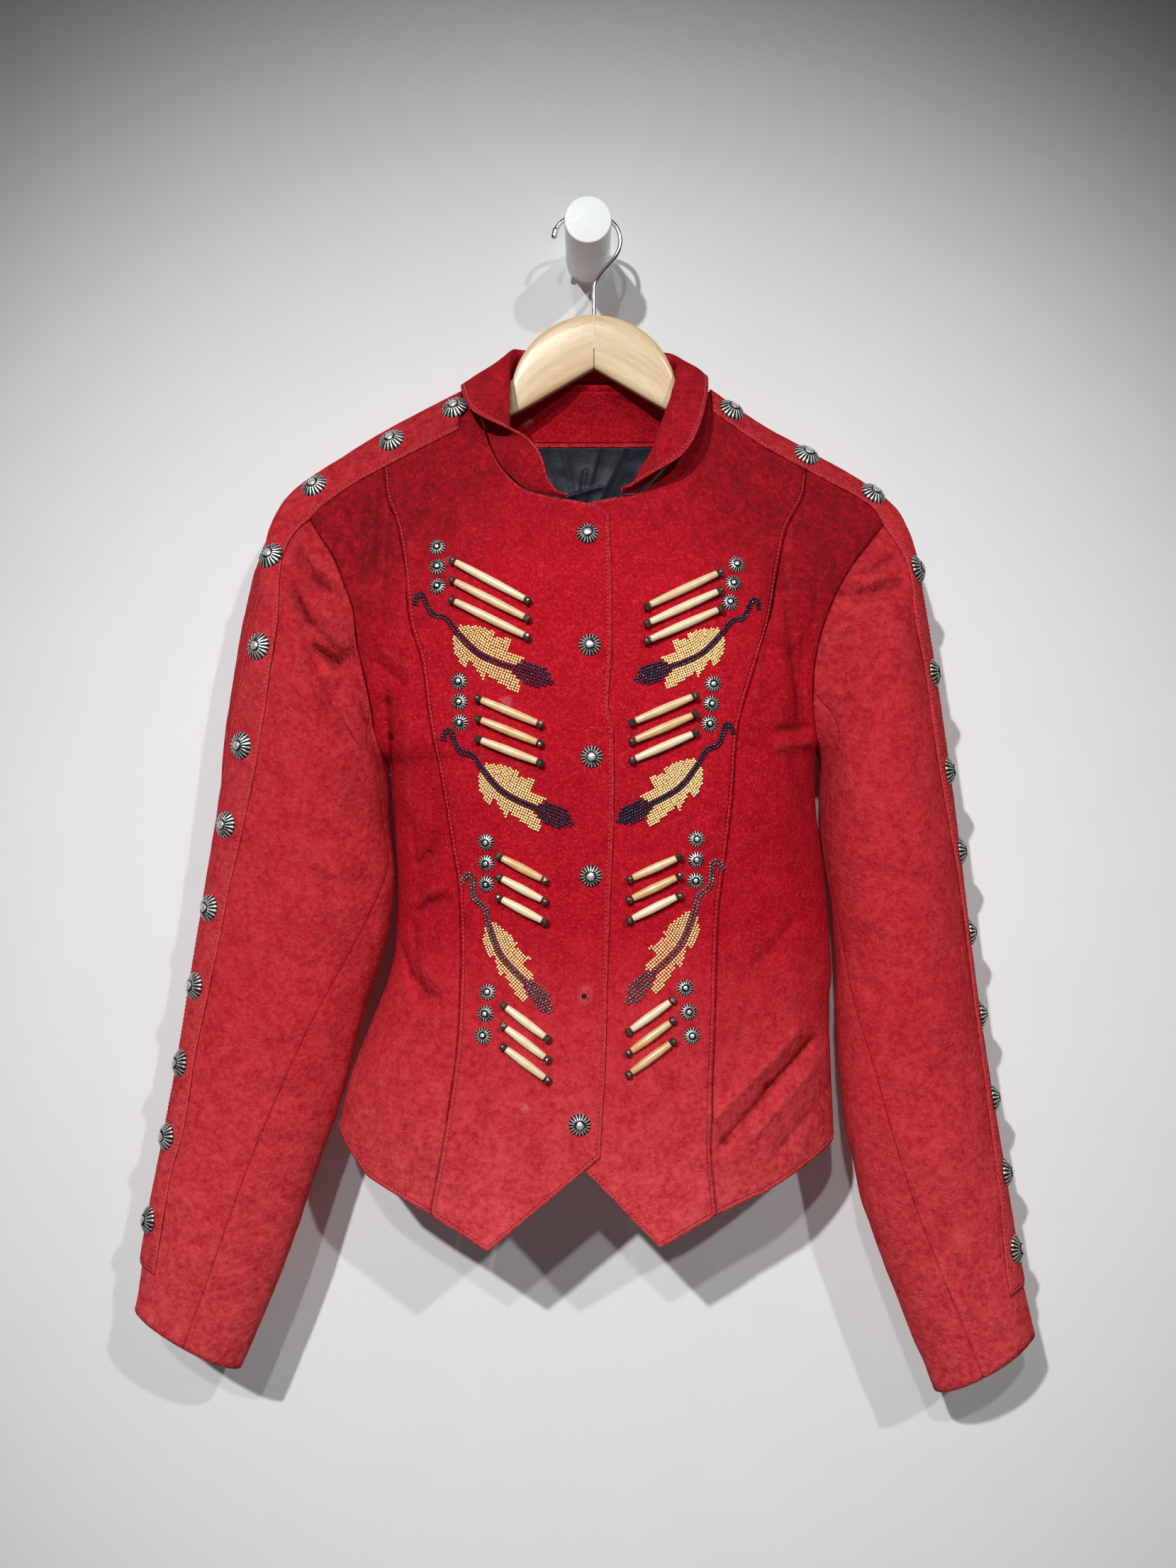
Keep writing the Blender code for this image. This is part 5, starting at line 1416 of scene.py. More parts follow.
satin, tree, shader, place = start_finish(
    "navy satin",
    Specular_IOR_Level=0.2,
    Sheen_Weight=0.08,
    Sheen_Roughness=0.3,
    Sheen_Tint=(0.45, 0.58, 0.9, 1),
)
weave = tree.add("ShaderNodeMapping", Scale=(1, 1, 0.08), Vector=place)
thread = tree.noise(weave.outputs["Vector"], 1400, 2, 0.5)
crumple = tree.noise(place, 62, 3, 0.55)
tree.feed(
    shader,
    Base_Color=tree.blend(crumple, (0.006, 0.007, 0.013, 1), (0.011, 0.013, 0.024, 1)),
    Roughness=tree.span(thread, 0.3, 0.7, 0.44, 0.56),
)
tree.bump(shader, tree.sum("ADD", crumple, tree.times(thread, 0.05)), 0.4, 0.0022)
lining = inside_back(LINING)
crease = fold_depth(lining[..., 0], lining[..., 2], LINING_CREASES) - 0.4
lining[..., 1] += np.minimum(crease + 0.3 * ripple(lining[..., 0], lining[..., 2], 21, 18), 0)
normals = grid_normals(lining, (0, -1, 0))
finish = {"material": satin, "thickness": LINING["thick"], "slot": "satin_navy"}
grid_sheet("lining", lining, normals, {}, "satin", **finish)

# Stitching
# Red thread, one row about 3 mm inside the placket, hems, collar and bands and beside the princess seams,
# each stitch drawn a little down into the nap at its two holes.

STITCH_PITCH, STITCH_LENGTH, STITCH_R = 3.2, 2.3, 0.42
thread_red, tree, shader, place = start_finish("red thread", Roughness=0.55, Sheen_Weight=0.3)
dye = tree.blend(tree.noise(place, 90), (0.52, 0.010, 0.020, 1), (0.78, 0.05, 0.06, 1))
tree.feed(shader, Base_Color=dye)


def matrix_on(place, normal, along=(0, 0, 1), scale=(1, 1, 1)):
    """Sets a shape's z on the normal and its x across the given direction, at a place in millimetres."""
    z = unit(np.asarray(normal, float))
    x = unit(np.cross(along, z))
    turn = Matrix(np.array([x, np.cross(z, x), z]).T.tolist())
    matrix = turn.to_4x4() @ Matrix.Diagonal((*scale, 1))
    matrix.translation = Vector(place) * MM
    return matrix


def stamped(name, shape, matrices, material, replaced=(), slot=None, smooth=True):
    """One piece made of copies of a small mesh."""
    bm = bmesh.new()
    for matrix in matrices:
        copy = shape.copy()
        copy.transform(matrix)
        bm.from_mesh(copy)
        bpy.data.meshes.remove(copy)
    mesh = mesh_of(name, bm)
    if smooth:
        mesh.shade_smooth()
    hang_piece(name, mesh, material, replaced)


def small_shape(name, build, **settings):
    bm = bmesh.new()
    build(bm, **settings)
    return mesh_of(name, bm)


def walked_along(line):
    """Distance from a line's start to each of its points."""
    return np.concatenate([[0], np.cumsum(np.linalg.norm(np.diff(line, axis=0), axis=1))])


def points_at(distance, at, line):
    """Points of a line at given distances from its start."""
    return np.stack([np.interp(distance, at, column) for column in line.T], axis=-1)


def inset_line(points, normals, side, distance):
    """A line on a grid at a given distance inside one of its sides, with its normals."""
    axis = 0 if side in ("first", "last") else 1
    if side in ("last", "top"):
        points, normals = np.flip(points, axis), np.flip(normals, axis)
    lengths = arc_lengths(points, axis)
    if axis:
        points, normals, lengths = points.swapaxes(0, 1), normals.swapaxes(0, 1), lengths.T
    both = np.concatenate([points, normals], axis=2)
    found = np.array([points_at(distance, lengths[:, j], both[:, j]) for j in range(both.shape[1])])
    return found[:, :3], found[:, 3:]


def stitches(points, normals, side, distance, skip_low=0.0, skip_top=0.0):
    """Places of the stitches in a row at a distance inside one side of a grid."""
    line, up = inset_line(points, normals, side, distance)
    at = walked_along(line)
    found = []
    for start in np.arange(skip_low + 1, at[-1] - skip_top - STITCH_LENGTH, STITCH_PITCH):
        first, last = points_at(start, at, line), points_at(start + STITCH_LENGTH, at, line)
        rise = points_at(start, at, up)
        middle = (first + last) / 2 + unit(rise) * 0.10
        found.append(matrix_on(middle, last - first, rise, (STITCH_R, STITCH_R, STITCH_LENGTH / 2)))
    return found


stitch = small_shape("stitch", bmesh.ops.create_uvsphere, u_segments=5, v_segments=4, radius=MM)
SEWN_AT, SEAM_ROW = 3.1, 2.6
body_rows = []
for side in ("right", "left"):
    centre = body_shapes["centre", side]
    if side == "right":
        body_rows += stitches(*centre, "first", SEWN_AT, 4, 8)
    body_rows += stitches(*centre, "last", SEAM_ROW, 3, 30)
    body_rows += stitches(*centre, "low", SEWN_AT, 3 if side == "right" else 24, 3)
    body_rows += stitches(*body_shapes["side", side], "low", SEWN_AT, 2, 2)
body_rows += stitches(*body_shapes["back", "both"], "low", SEWN_AT, 2, 2)
stamped("body_stitching", stitch, body_rows, thread_red)
band_rows = []
for side in ("right", "left"):
    for edge in STRIP_SIDES:
        band_rows += stitches(*strip_shapes[side], edge, BAND_ROW, 2, 2)
stamped("band_stitching", stitch, band_rows, thread_red)
stamped("collar_stitching", stitch, stitches(leaf, collar_normals, "last", COLLAR_ROW, 4, 4), thread_red)

# Conchos, studs and snap caps
# Domed caps of antique silver with pressed flutes round a plain boss: bright on the ridges and dark with
# tarnish in the flutes.

CONCHO = table(
    "radius height",
    (10.2, -0.4),
    (10.3, 0.3),
    (9.9, 1.0),
    (8.7, 1.9),
    (7.2, 2.9),
    (5.8, 3.7),
    (4.7, 4.15),
    (3.9, 4.2),
    (3.5, 4.7),
    (2.4, 5.35),
    (1.2, 5.7),
    (0, 5.8),
)
STUD = table(
    "radius height",
    (6.0, -0.3),
    (6.05, 0.4),
    (5.5, 1.0),
    (4.4, 1.7),
    (3.3, 2.2),
    (2.5, 2.35),
    (1.9, 2.8),
    (0.9, 3.25),
    (0, 3.3),
)
SNAP = table(
    "radius height",
    (7.6, -0.3),
    (8.1, 0.5),
    (7.6, 1.3),
    (6.3, 2.2),
    (5.0, 3.0),
    (4.0, 3.4),
    (3.5, 3.5),
    (2.9, 4.1),
    (1.5, 4.7),
    (0, 4.8),
)


def turned(profile, steps):
    """A bmesh turned from a profile of radius and height."""
    bm = bmesh.new()
    verts = [bm.verts.new((radius * MM, 0, height * MM)) for radius, height in profile]
    edges = [bm.edges.new(pair) for pair in zip(verts, verts[1:])]
    circle = {"cent": (0, 0, 0), "axis": (0, 0, 1), "dvec": (0, 0, 0), "angle": 2 * pi, "use_merge": True}
    bmesh.ops.spin(bm, geom=verts + edges, steps=steps, **circle)
    bmesh.ops.remove_doubles(bm, verts=bm.verts, dist=1e-6)
    bmesh.ops.recalc_face_normals(bm, faces=bm.faces)
    return bm


def fluted_cap(name, profile, flutes, boss, cut):
    """A turned cap, its skirt pressed into flutes from the boss out. It keeps how deep each point lies."""
    bm = turned(zip(profile["radius"], profile["height"]), flutes * 4)
    groove = []
    for vert in bm.verts:
        radius = np.hypot(vert.co.x, vert.co.y) / MM
        in_flute = 0.5 + 0.5 * cos(flutes * np.arctan2(vert.co.y, vert.co.x))
        skirt = min(max((radius - boss) / 2, 0), 1)
        vert.co.z -= cut * in_flute * skirt * MM
        vert.co.x *= 1 - 0.03 * in_flute * skirt
        vert.co.y *= 1 - 0.03 * in_flute * skirt
        collar_dip = np.exp(-(((radius - boss) / 0.6) ** 2))
        groove.append(min(in_flute * skirt + collar_dip * 0.8, 1))
    mesh = mesh_of(name, bm)
    keep_values(mesh, "groove", groove)
    return mesh


silver, tree, shader, place = start_finish("antique silver", Metallic=0.65)
stain = tree.noise(place, 260, 4, 0.6)
scratch = tree.noise(place, 1900, 2, 0.6)
depth = tree.sum("ADD", tree.layer("groove"), tree.span(stain, 0.45, 0.8, -0.1, 0.45))
tree.feed(
    shader,
    Base_Color=tree.blend(tree.span(depth, 0.24, 0.50), (0.74, 0.73, 0.70, 1), (0.010, 0.009, 0.009, 1)),
    Roughness=tree.span(depth, 0.1, 0.9, 0.34, 0.66),
)
tree.bump(shader, scratch, 0.25, 0.0002)

CONCHOS = {
    "right": table(
        "x z",
        (-104, -122),
        (-150, -150),
        (-206, -190),
        (-237, -249),
        (-236, -317),
        (-246, -391),
        (-261, -451),
        (-274, -513),
        (-284, -570),
        (-296, -629),
        (-303, -684),
        (-319, -743),
    ),
    "left": table(
        "x z",
        (108, -127),
        (166, -162),
        (216, -194),
        (243, -257),
        (256, -336),
        (265, -409),
        (275, -470),
        (285, -530),
        (291, -592),
        (301, -654),
        (308, -709),
        (312, -765),
    ),
}
STUD_GROUPS = table(
    "x      z       lean  drop",
    (-110.5, -244.5, 0.5, 14.8),
    (-93, -344, 0.5, 14.8),
    (-73.5, -460, 0, 15.2),
    (-72.5, -568.5, -1.5, 15.4),
    (108.5, -257.5, -2.7, 14.2),
    (90, -346, -1.4, 14.4),
    (78, -457.5, -0.3, 15),
    (70, -565, 2.3, 17),
)
SNAPS = table("x z", (-0.3, -235), (1.3, -318), (2.7, -398.5), (2.1, -484), (-5.9, -661.5))
concho = fluted_cap("concho", CONCHO, 18, 3.9, 0.75)
stud = fluted_cap("stud", STUD, 16, 2.2, 0.40)
snap = fluted_cap("snap", SNAP, 18, 3.4, 0.55)

for side in ("right", "left"):
    points, normals = strip_shapes[side]
    middle = ACROSS.searchsorted(1.6)
    places = []
    for x, z in zip(CONCHOS[side]["x"], CONCHOS[side]["z"]):
        flat = np.hypot(points[middle, :, 0] - x, points[middle, :, 2] - z)
        k = int(np.argmin(flat))
        across = int(np.argmin(np.linalg.norm(points[:, k] - points[[0, -1], k].mean(axis=0), axis=1)))
        normal = normals[max(across - 2, 0) : across + 3, max(k - 2, 0) : k + 3].mean(axis=(0, 1))
        places.append(matrix_on(points[across, k] + unit(normal) * 0.2, normal))
    stamped(f"conchos_{side}_silver", concho, places, silver, slot="antique_silver")


def surface_tree(*grids):
    """Something to land pieces on, made from grids of points."""
    verts, faces = [], []
    for grid in grids:
        rows, start = grid.shape[1], len(verts)
        verts += [Vector(spot) * MM for spot in grid.reshape(-1, 3)]
        for i in range(grid.shape[0] - 1):
            for j in range(rows - 1):
                a = start + i * rows + j
                faces.append((a, a + rows, a + rows + 1, a + 1))
    return BVHTree.FromPolygons(verts, faces)


def land(tree, x, z):
    """The front surface met at x, z, and its normal towards the viewer."""
    spot, normal, _, _ = tree.ray_cast(Vector((x, -400, z)) * MM, Vector((0, 1, 0)))
    normal = np.array(normal)
    return np.array(spot) / MM, normal if normal[1] < 0 else -normal


FRONT = {}
for side in ("right", "left"):
    FRONT[side] = surface_tree(body_shapes["centre", side][0], body_shapes["side", side][0])
places = []
for x, z, lean, drop in zip(*STUD_GROUPS.values()):
    for k in range(3):
        spot, normal = land(FRONT["right" if x < 0 else "left"], x + lean * k, z - drop * k)
        places.append(matrix_on(spot + normal * 0.1, normal))
stamped("studs_silver", stud, places, silver, slot="antique_silver")
places = []
for x, z in zip(SNAPS["x"], SNAPS["z"]):
    spot, normal = land(FRONT["right"], x, z)
    places.append(matrix_on(spot + normal * 0.3, normal))
stamped("snaps_silver", snap, places, silver, [f"snap_{k + 1}" for k in range(5)], "antique_silver")

# The lost snap's place
# One snap is missing above the lowest: a small hole in the placket, with the pale pink ring that the cap
# kept from wear.

LOST_X, LOST_Z = -2.8, -570.6
RING_R, HOLE_R = 7.4, 2.0
spot, normal = land(FRONT["right"], LOST_X, LOST_Z)
# The hole is a flat disc of near black: painted shade, with no opening behind it
hole_shade, tree, shader, place = start_finish("snap hole", Roughness=1.0)
dark = tree.blend(tree.noise(place, 900), (0.004, 0.001, 0.002, 1), (0.03, 0.004, 0.006, 1))
tree.feed(shader, Base_Color=dark)
pale_ring = suede("red suede, snap ring", 0.5, worn=(0.62, 0.12, 0.12, 1), with_edge=False)
for name, radius, lift, finish in (
    ("lost_snap_ring", RING_R, 0.10, pale_ring),
    ("lost_snap_hole", HOLE_R, 0.22, hole_shade),
):
    disc = small_shape(name, bmesh.ops.create_circle, cap_ends=True, segments=40, radius=radius * MM)
    stamped(name, disc, [matrix_on(spot + normal * lift, normal)], finish)

# Hair pipes
# Tapering tubes of bone, cream to honey, each strung between two faceted beads of dark pewter. They lie
# on the centre fronts in four groups of three on each side.

PIPE_GROUPS = table(
    "x_out   z_out   x_in   z_in    drop_out drop_in",
    (-101, -254, -41, -287.2, 14.8, 13.2),
    (-81.5, -355.6, -31.4, -376.6, 14.6, 13.6),
    (-66.7, -468.6, -28.4, -488.5, 15, 15),
    (-63, -575.4, -26.6, -602, 14.6, 14.5),
    (98.4, -263, 39.9, -291.2, 13.6, 12.6),
    (79.5, -353.6, 29, -375.1, 13.3, 13.5),
    (68.2, -469, 27.3, -487.5, 13.8, 14.8),
    (63.1, -571.3, 26.8, -597, 14.6, 15),
)
BEAD_R, BEAD_LONG = 3.1, 5.4
TUBE_R, TUBE_END_R, TUBE_STEPS = 3.2, 2.3, 20
bone, tree, shader, place = start_finish(
    "bone",
    Subsurface_Weight=0.12,
    Subsurface_Radius=(0.004, 0.0025, 0.0012),
    Coat_Weight=0.25,
    Coat_Roughness=0.18,
)
streak = tree.noise(place, 120, 4, 0.6)
pore = tree.noise(place, 1300, 3, 0.6)
warm = tree.sum("ADD", tree.layer("tint"), tree.span(streak, 0.4, 0.75, -0.12, 0.35))
colour = tree.blend(tree.span(warm, 0.0, 1.0), (0.82, 0.70, 0.47, 1), (0.66, 0.33, 0.085, 1))
colour = tree.blend(tree.span(pore, 0.62, 0.72, 0, 0.4), colour, (0.40, 0.22, 0.08, 1))
tree.feed(shader, Base_Color=colour, Roughness=tree.span(streak, 0.3, 0.7, 0.26, 0.40))
pewter, tree, shader, place = start_finish("dark pewter", Metallic=0.9)
stain = tree.noise(place, 420, 3, 0.6)
tree.feed(
    shader,
    Base_Color=tree.blend(stain, (0.07, 0.06, 0.055, 1), (0.25, 0.21, 0.18, 1)),
    Roughness=tree.span(stain, 0.3, 0.7, 0.30, 0.50),
)


def lay_rod(tree, start, end, radius):
    """Lays a straight rod on a bulging wall: its two ends, just clear of what is under it."""
    shares = np.linspace(0, 1, 9)
    depth = np.array([land(tree, *(np.array(start) * (1 - t) + np.array(end) * t))[0][1] for t in shares])
    proud = (depth[0] + (depth[-1] - depth[0]) * shares - depth).max()
    lift = proud + radius * 0.93 + 0.3
    return np.array([start[0], depth[0] - lift, start[1]]), np.array([end[0], depth[-1] - lift, end[1]])


NUGGET_ROUGH = 0.10
rng = np.random.default_rng(11)
nugget = small_shape("nugget", bmesh.ops.create_icosphere, subdivisions=2, radius=MM)
for vert in nugget.vertices:
    vert.co *= 1 + rng.uniform(-NUGGET_ROUGH, NUGGET_ROUGH)
nuggets, tubes, tints = [], bmesh.new(), []
for x_out, z_out, x_in, z_in, drop_out, drop_in in zip(*PIPE_GROUPS.values()):
    tree = FRONT["right" if x_out < 0 else "left"]
    for k in range(3):
        start, end = lay_rod(tree, (x_out, z_out - drop_out * k), (x_in, z_in - drop_in * k), BEAD_R)
        length, run = np.linalg.norm(end - start), unit(end - start)
        for spot in (start + run * BEAD_LONG / 2, end - run * BEAD_LONG / 2):
            spin_up = rng.normal(size=3)
            nuggets.append(matrix_on(spot, run, spin_up, (BEAD_R, BEAD_R, BEAD_LONG / 2)))
        low = BEAD_LONG + 0.2
        swell = length / 2 - low
        half = [(1.1, low + 1.2), (1.2, low), (TUBE_END_R, low), (TUBE_END_R + 0.15, low + 0.4)]
        half += [(TUBE_R - 0.35, low + swell * 0.4), (TUBE_R - 0.05, low + swell * 0.8)]
        profile = half + [(radius, length - height) for radius, height in half[::-1]]
        mesh = mesh_of("tube", turned(profile, TUBE_STEPS))
        mesh.transform(matrix_on(start, run, (0, 1, 0)))
        tints += [rng.uniform(-0.1, 0.75)] * len(mesh.vertices)
        tubes.from_mesh(mesh)
        bpy.data.meshes.remove(mesh)
mesh = mesh_of("hair_pipes_bone", tubes)
keep_values(mesh, "tint", tints)
hang_piece("hair_pipes_bone", mesh, bone, [f"pipe_{k + 1}" for k in range(24)], 50)
stamped("hair_pipe_beads", nugget, nuggets, pewter, smooth=False)

# Beaded feathers
# Glass seed beads sewn in rows that follow the rib: pale yellow vanes with three lobes a side, a rib and
# stem two beads wide in dark navy, and a dark leaf-shaped tip. The lowest pair's dark beads are greyer.

SEED, DARK_SEED = 1.9, 2.3  # from bead to bead
SPINE = np.array(
    [(-1, 0.5), (0.1, 6.6), (4.2, 7.8), (8.1, -0.2), (12.7, -7), (21.8, -9.7), (28.6, -18.4)]
    + [(37.7, -28.6), (46.8, -36.6), (58.2, -42.3), (69.6, -46.4)]
)
TIP_SPINE = np.array([(69.6, -46.4), (80, -50), (91, -53.5), (101, -57)])
UPPER_VANE = [(28.6, -18.4), (32, -15.7), (45.7, -16.1), (57.9, -20.7), (55.9, -24.3), (71.1, -25.7)]
UPPER_VANE += [(66.6, -34.3), (80.3, -39.8), (75.2, -43.4), (69.6, -46.4), (46.8, -36.6)]
LOWER_VANE = [(28.6, -18.4), (27.4, -24), (28.1, -34.3), (32, -41.2), (37.7, -46.4), (40.6, -41.2)]
LOWER_VANE += [(50.7, -57.1), (52.5, -51.4), (61.6, -58.2), (74.8, -65.5), (76.4, -57.1)]
LOWER_VANE += [(70.7, -50.3), (69.6, -46.4), (46.8, -36.6)]
TIP = [(69.6, -46.4), (77.5, -42.3), (86.6, -42.3), (93.9, -45.7), (101.5, -57), (93.5, -61.2)]
TIP += [(84.3, -60.5), (77.5, -56), (70.7, -50.3)]
FEATHERS = table(
    "x     z      wide  turn  mirror slim",
    (-125, -288, 1.0, 0, 1, 1),
    (-103.5, -386.8, 0.955, -3, 1, 1),
    (-90.5, -490, 0.98, -24, 1, 0.72),
    (123.4, -291.2, 0.9, 0.5, -1, 1),
    (103.5, -382, 0.9, 7.5, -1, 1),
    (96.5, -480.5, 1.03, 23, -1, 0.72),
)


def even_line(line, offset, pitch):
    """Evenly spaced points on a smooth line moved aside by an offset, run on straight at both ends."""
    smooth = refined(line[:, None, :], 120, 0)[:, 0]
    run = np.gradient(smooth, axis=0)
    run /= np.linalg.norm(run, axis=1, keepdims=True)
    moved = smooth + np.stack([-run[:, 1], run[:, 0]], axis=1) * offset
    moved = np.concatenate([[moved[0] - run[0] * 30], moved, [moved[-1] + run[-1] * 40]])
    at = walked_along(moved)
    return points_at(np.arange(abs(offset) * 0.5 % pitch, at[-1], pitch), at, moved)


def inside(outline, spots):
    """Which points lie inside an outline."""
    hit = np.zeros(len(spots), bool)
    for (ax, ay), (bx, by) in zip(outline, outline[1:] + outline[:1]):
        crosses = (ay > spots[:, 1]) != (by > spots[:, 1])
        hit ^= crosses & (spots[:, 0] < ax + (spots[:, 1] - ay) * (bx - ax) / ((by - ay) or 1e-9))
    return hit


def slimmed(outline, slim):
    """An outline drawn in towards the feather's rib."""
    run = unit(SPINE[-1] - SPINE[6])
    aside = np.array([-run[1], run[0]])
    out = [(np.array(spot, float), np.dot(np.array(spot, float) - SPINE[6], aside)) for spot in outline]
    return [tuple(spot - aside * off * (1 - slim)) for spot, off in out]


def feather_rows(slim):
    """Rows of pale beads and of dark beads, each a line of places on the flat feather."""
    pale, dark = [], []
    for offset in (-DARK_SEED / 2, DARK_SEED / 2):
        line = even_line(SPINE, offset, DARK_SEED)
        keep = np.hypot(*(line - SPINE[0]).T).argmin(), np.hypot(*(line - SPINE[-1]).T).argmin()
        dark.append(line[keep[0] : keep[1] + 1])
    for outline, way in ((UPPER_VANE, 1), (LOWER_VANE, -1)):
        for row in range(1, 12):
            spots = even_line(SPINE[6:], way * ((row + 0.5) * SEED + 0.5), SEED)
            pale.append(spots[inside(slimmed(outline, slim), spots)])
    for row in range(-6, 7):
        spots = even_line(TIP_SPINE, row * DARK_SEED, DARK_SEED)
        dark.append(spots[inside(slimmed(TIP, slim), spots)])
    return {"pale": pale, "dark": dark}


def glass(name, base, second, metallic, seed_scale):
    coat = {"Coat_Weight": 0.7, "Coat_Roughness": 0.10}
    material, tree, shader, place = start_finish(name, Metallic=metallic, **coat)
    each = tree.noise(place, seed_scale, 2, 0.5)
    colour = tree.blend(tree.span(each, 0.38, 0.62), base, second)
    tree.feed(shader, Base_Color=colour, Roughness=tree.span(each, 0.3, 0.7, 0.16, 0.32))
    return material


PALE_GLASS = glass("pale yellow beads", (1.0, 0.86, 0.42, 1), (0.96, 0.74, 0.31, 1), 0.0, 380)
NAVY_GLASS = glass("navy beads", (0.003, 0.006, 0.017, 1), (0.022, 0.034, 0.075, 1), 0.10, 700)
STEEL_GLASS = glass("steel beads", (0.05, 0.05, 0.06, 1), (0.26, 0.25, 0.27, 1), 0.50, 700)
seed_bead = small_shape("seed bead", bmesh.ops.create_uvsphere, u_segments=6, v_segments=4, radius=MM)
BEAD_PROUD, BEAD_ASTRAY, BEAD_SHORT = 0.85, 0.08, 0.86
rng = np.random.default_rng(4)
for k, (x, z, wide, turn, mirror, slim) in enumerate(zip(*FEATHERS.values())):
    tree = FRONT["right" if x < 0 else "left"]
    spin = np.array([[cos(radians(turn)), -sin(radians(turn))], [sin(radians(turn)), cos(radians(turn))]])
    finishes = {"pale": PALE_GLASS, "dark": STEEL_GLASS if k % 3 == 2 else NAVY_GLASS}
    for label, rows in feather_rows(slim).items():
        places = []
        for row in rows:
            for i, spot in enumerate(row):
                ahead = row[min(i + 1, len(row) - 1)] - row[max(i - 1, 0)]
                run = spin @ (ahead * (mirror, 1)) if len(row) > 1 else np.array([1.0, 0.0])
                at = spin @ (spot * (mirror * wide, wide)) + (x, z) + rng.normal(0, BEAD_ASTRAY, 2)
                landed, normal = land(tree, *at)
                size = rng.uniform(0.94, 1.04) * (1 if label == "pale" else DARK_SEED / SEED)
                along = unit(np.array([run[0], 0, run[1]]))
                scale = (size, size, BEAD_SHORT * size)
                proud = landed + normal * (BEAD_PROUD + rng.uniform(-0.06, 0.06))
                places.append(matrix_on(proud, along, normal, scale))
        held = ([f"feather_{k + 1}"], "seed_beads") if label == "pale" else ()
        stamped(f"feather_{k + 1}_{label}_beads", seed_bead, places, finishes[label], *held)

# Hanger
# Two flat arms of pale maple that meet under the hook in a butt joint, sanded round on top, with the
# grain running along each arm under a satin varnish.

HANGER_X, HANGER_Y = 4.6, -48.0
DOME_Z, DOME_R = -122.0, 64.0
HANGER_DROP = 5.2
ARM = table(
    "x    under half",
    (0.3, -99.5, 6),
    (14, -107.4, 6),
    (30, -116.6, 6),
    (46, -126, 6),
    (57, -132, 5.6),
    (66, -136, 5.2),
    (80, -143, 5.2),
    (98, -152, 5.2),
    (126, -168, 5.2),
    (160, -188, 4.8),
    (184, -201, 4.2),
    (192, -205, 2.6),
)
ARM_STEPS = np.concatenate([np.linspace(0.3, 60, 40), np.linspace(62, 184, 50), [187, 190, 191.4, 192]])
LEFT_DEEPER = 4  # the left arm's end is this much deeper
ARM_ROUND, ARM_SQUARED = 25, 0.45
maple, tree, shader, _ = start_finish("maple", Coat_Weight=0.3, Coat_Roughness=0.2)
stretch = tree.add("ShaderNodeMapping", Scale=(0.09, 1, 1), Vector=tree.layer("grain_place", "Vector"))
ring = tree.noise(stretch.outputs["Vector"], 130, 4, 0.6)
fibre = tree.noise(stretch.outputs["Vector"], 1500, 3, 0.6)
colour = tree.blend(tree.span(ring, 0.36, 0.64), (0.64, 0.44, 0.23, 1), (0.79, 0.62, 0.39, 1))
colour = tree.blend(tree.span(fibre, 0.5, 0.75, 0, 0.45), colour, (0.50, 0.29, 0.11, 1))
tree.feed(shader, Base_Color=colour, Roughness=tree.span(fibre, 0.3, 0.7, 0.34, 0.50))
tree.bump(shader, fibre, 0.25, 0.0003)


def arm_top(x):
    reach = np.maximum(DOME_R**2 - (x - HANGER_X) ** 2, 0)
    dome = np.where(reach > 0, DOME_Z + reach**0.5, -999)
    return np.maximum(dome, read(RIDGE, "x", "z", x) - HANGER_DROP)


def close_tube(bm):
    """Closes the seam and the two ends of a grid rolled into a tube."""
    bmesh.ops.remove_doubles(bm, verts=bm.verts, dist=1e-6)
    bmesh.ops.holes_fill(bm, edges=[edge for edge in bm.edges if edge.is_boundary], sides=0)
    bmesh.ops.recalc_face_normals(bm, faces=bm.faces)


for side, sign in (("right", -1), ("left", 1)):
    x = HANGER_X + sign * ARM_STEPS
    top, half = arm_top(x), read(ARM, "x", "half", ARM_STEPS)
    deeper = LEFT_DEEPER * np.clip((ARM_STEPS - 150) / 10, 0, 1) if side == "left" else 0
    under = read(ARM, "x", "under", ARM_STEPS) - deeper
    turn = np.linspace(0, 2 * pi, ARM_ROUND)
    squared = [np.sign(f(turn)) * abs(f(turn)) ** ARM_SQUARED for f in (np.sin, np.cos)]
    middle = np.stack([x, 0 * x + HANGER_Y, (top + under) / 2], axis=1)
    points = np.zeros((ARM_ROUND, len(x), 3)) + middle
    points[..., 1] += squared[0][:, None] * half
    points[..., 2] += squared[1][:, None] * (top - under) / 2
    bm, order = grid_on(points)
    run = arc_lengths(middle[None], 1)[0]
    layer = bm.verts.layers.float_vector.new("grain_place")
    for vert, (i, j) in zip(bm.verts, order):
        offset = points[i, j] - middle[j]
        vert[layer] = run[j] * MM, offset[1] * MM + sign, offset[2] * MM
    close_tube(bm)
    name = f"hanger_arm_{side}"
    hang_piece(f"{name}_maple", mesh_of(f"{name}_maple", bm), maple, [name], 50)

# Hook
# One bend of bright steel wire with a thicker plated tip. It comes out of the arms' joint, rises round the
# peg and rests on top of it.

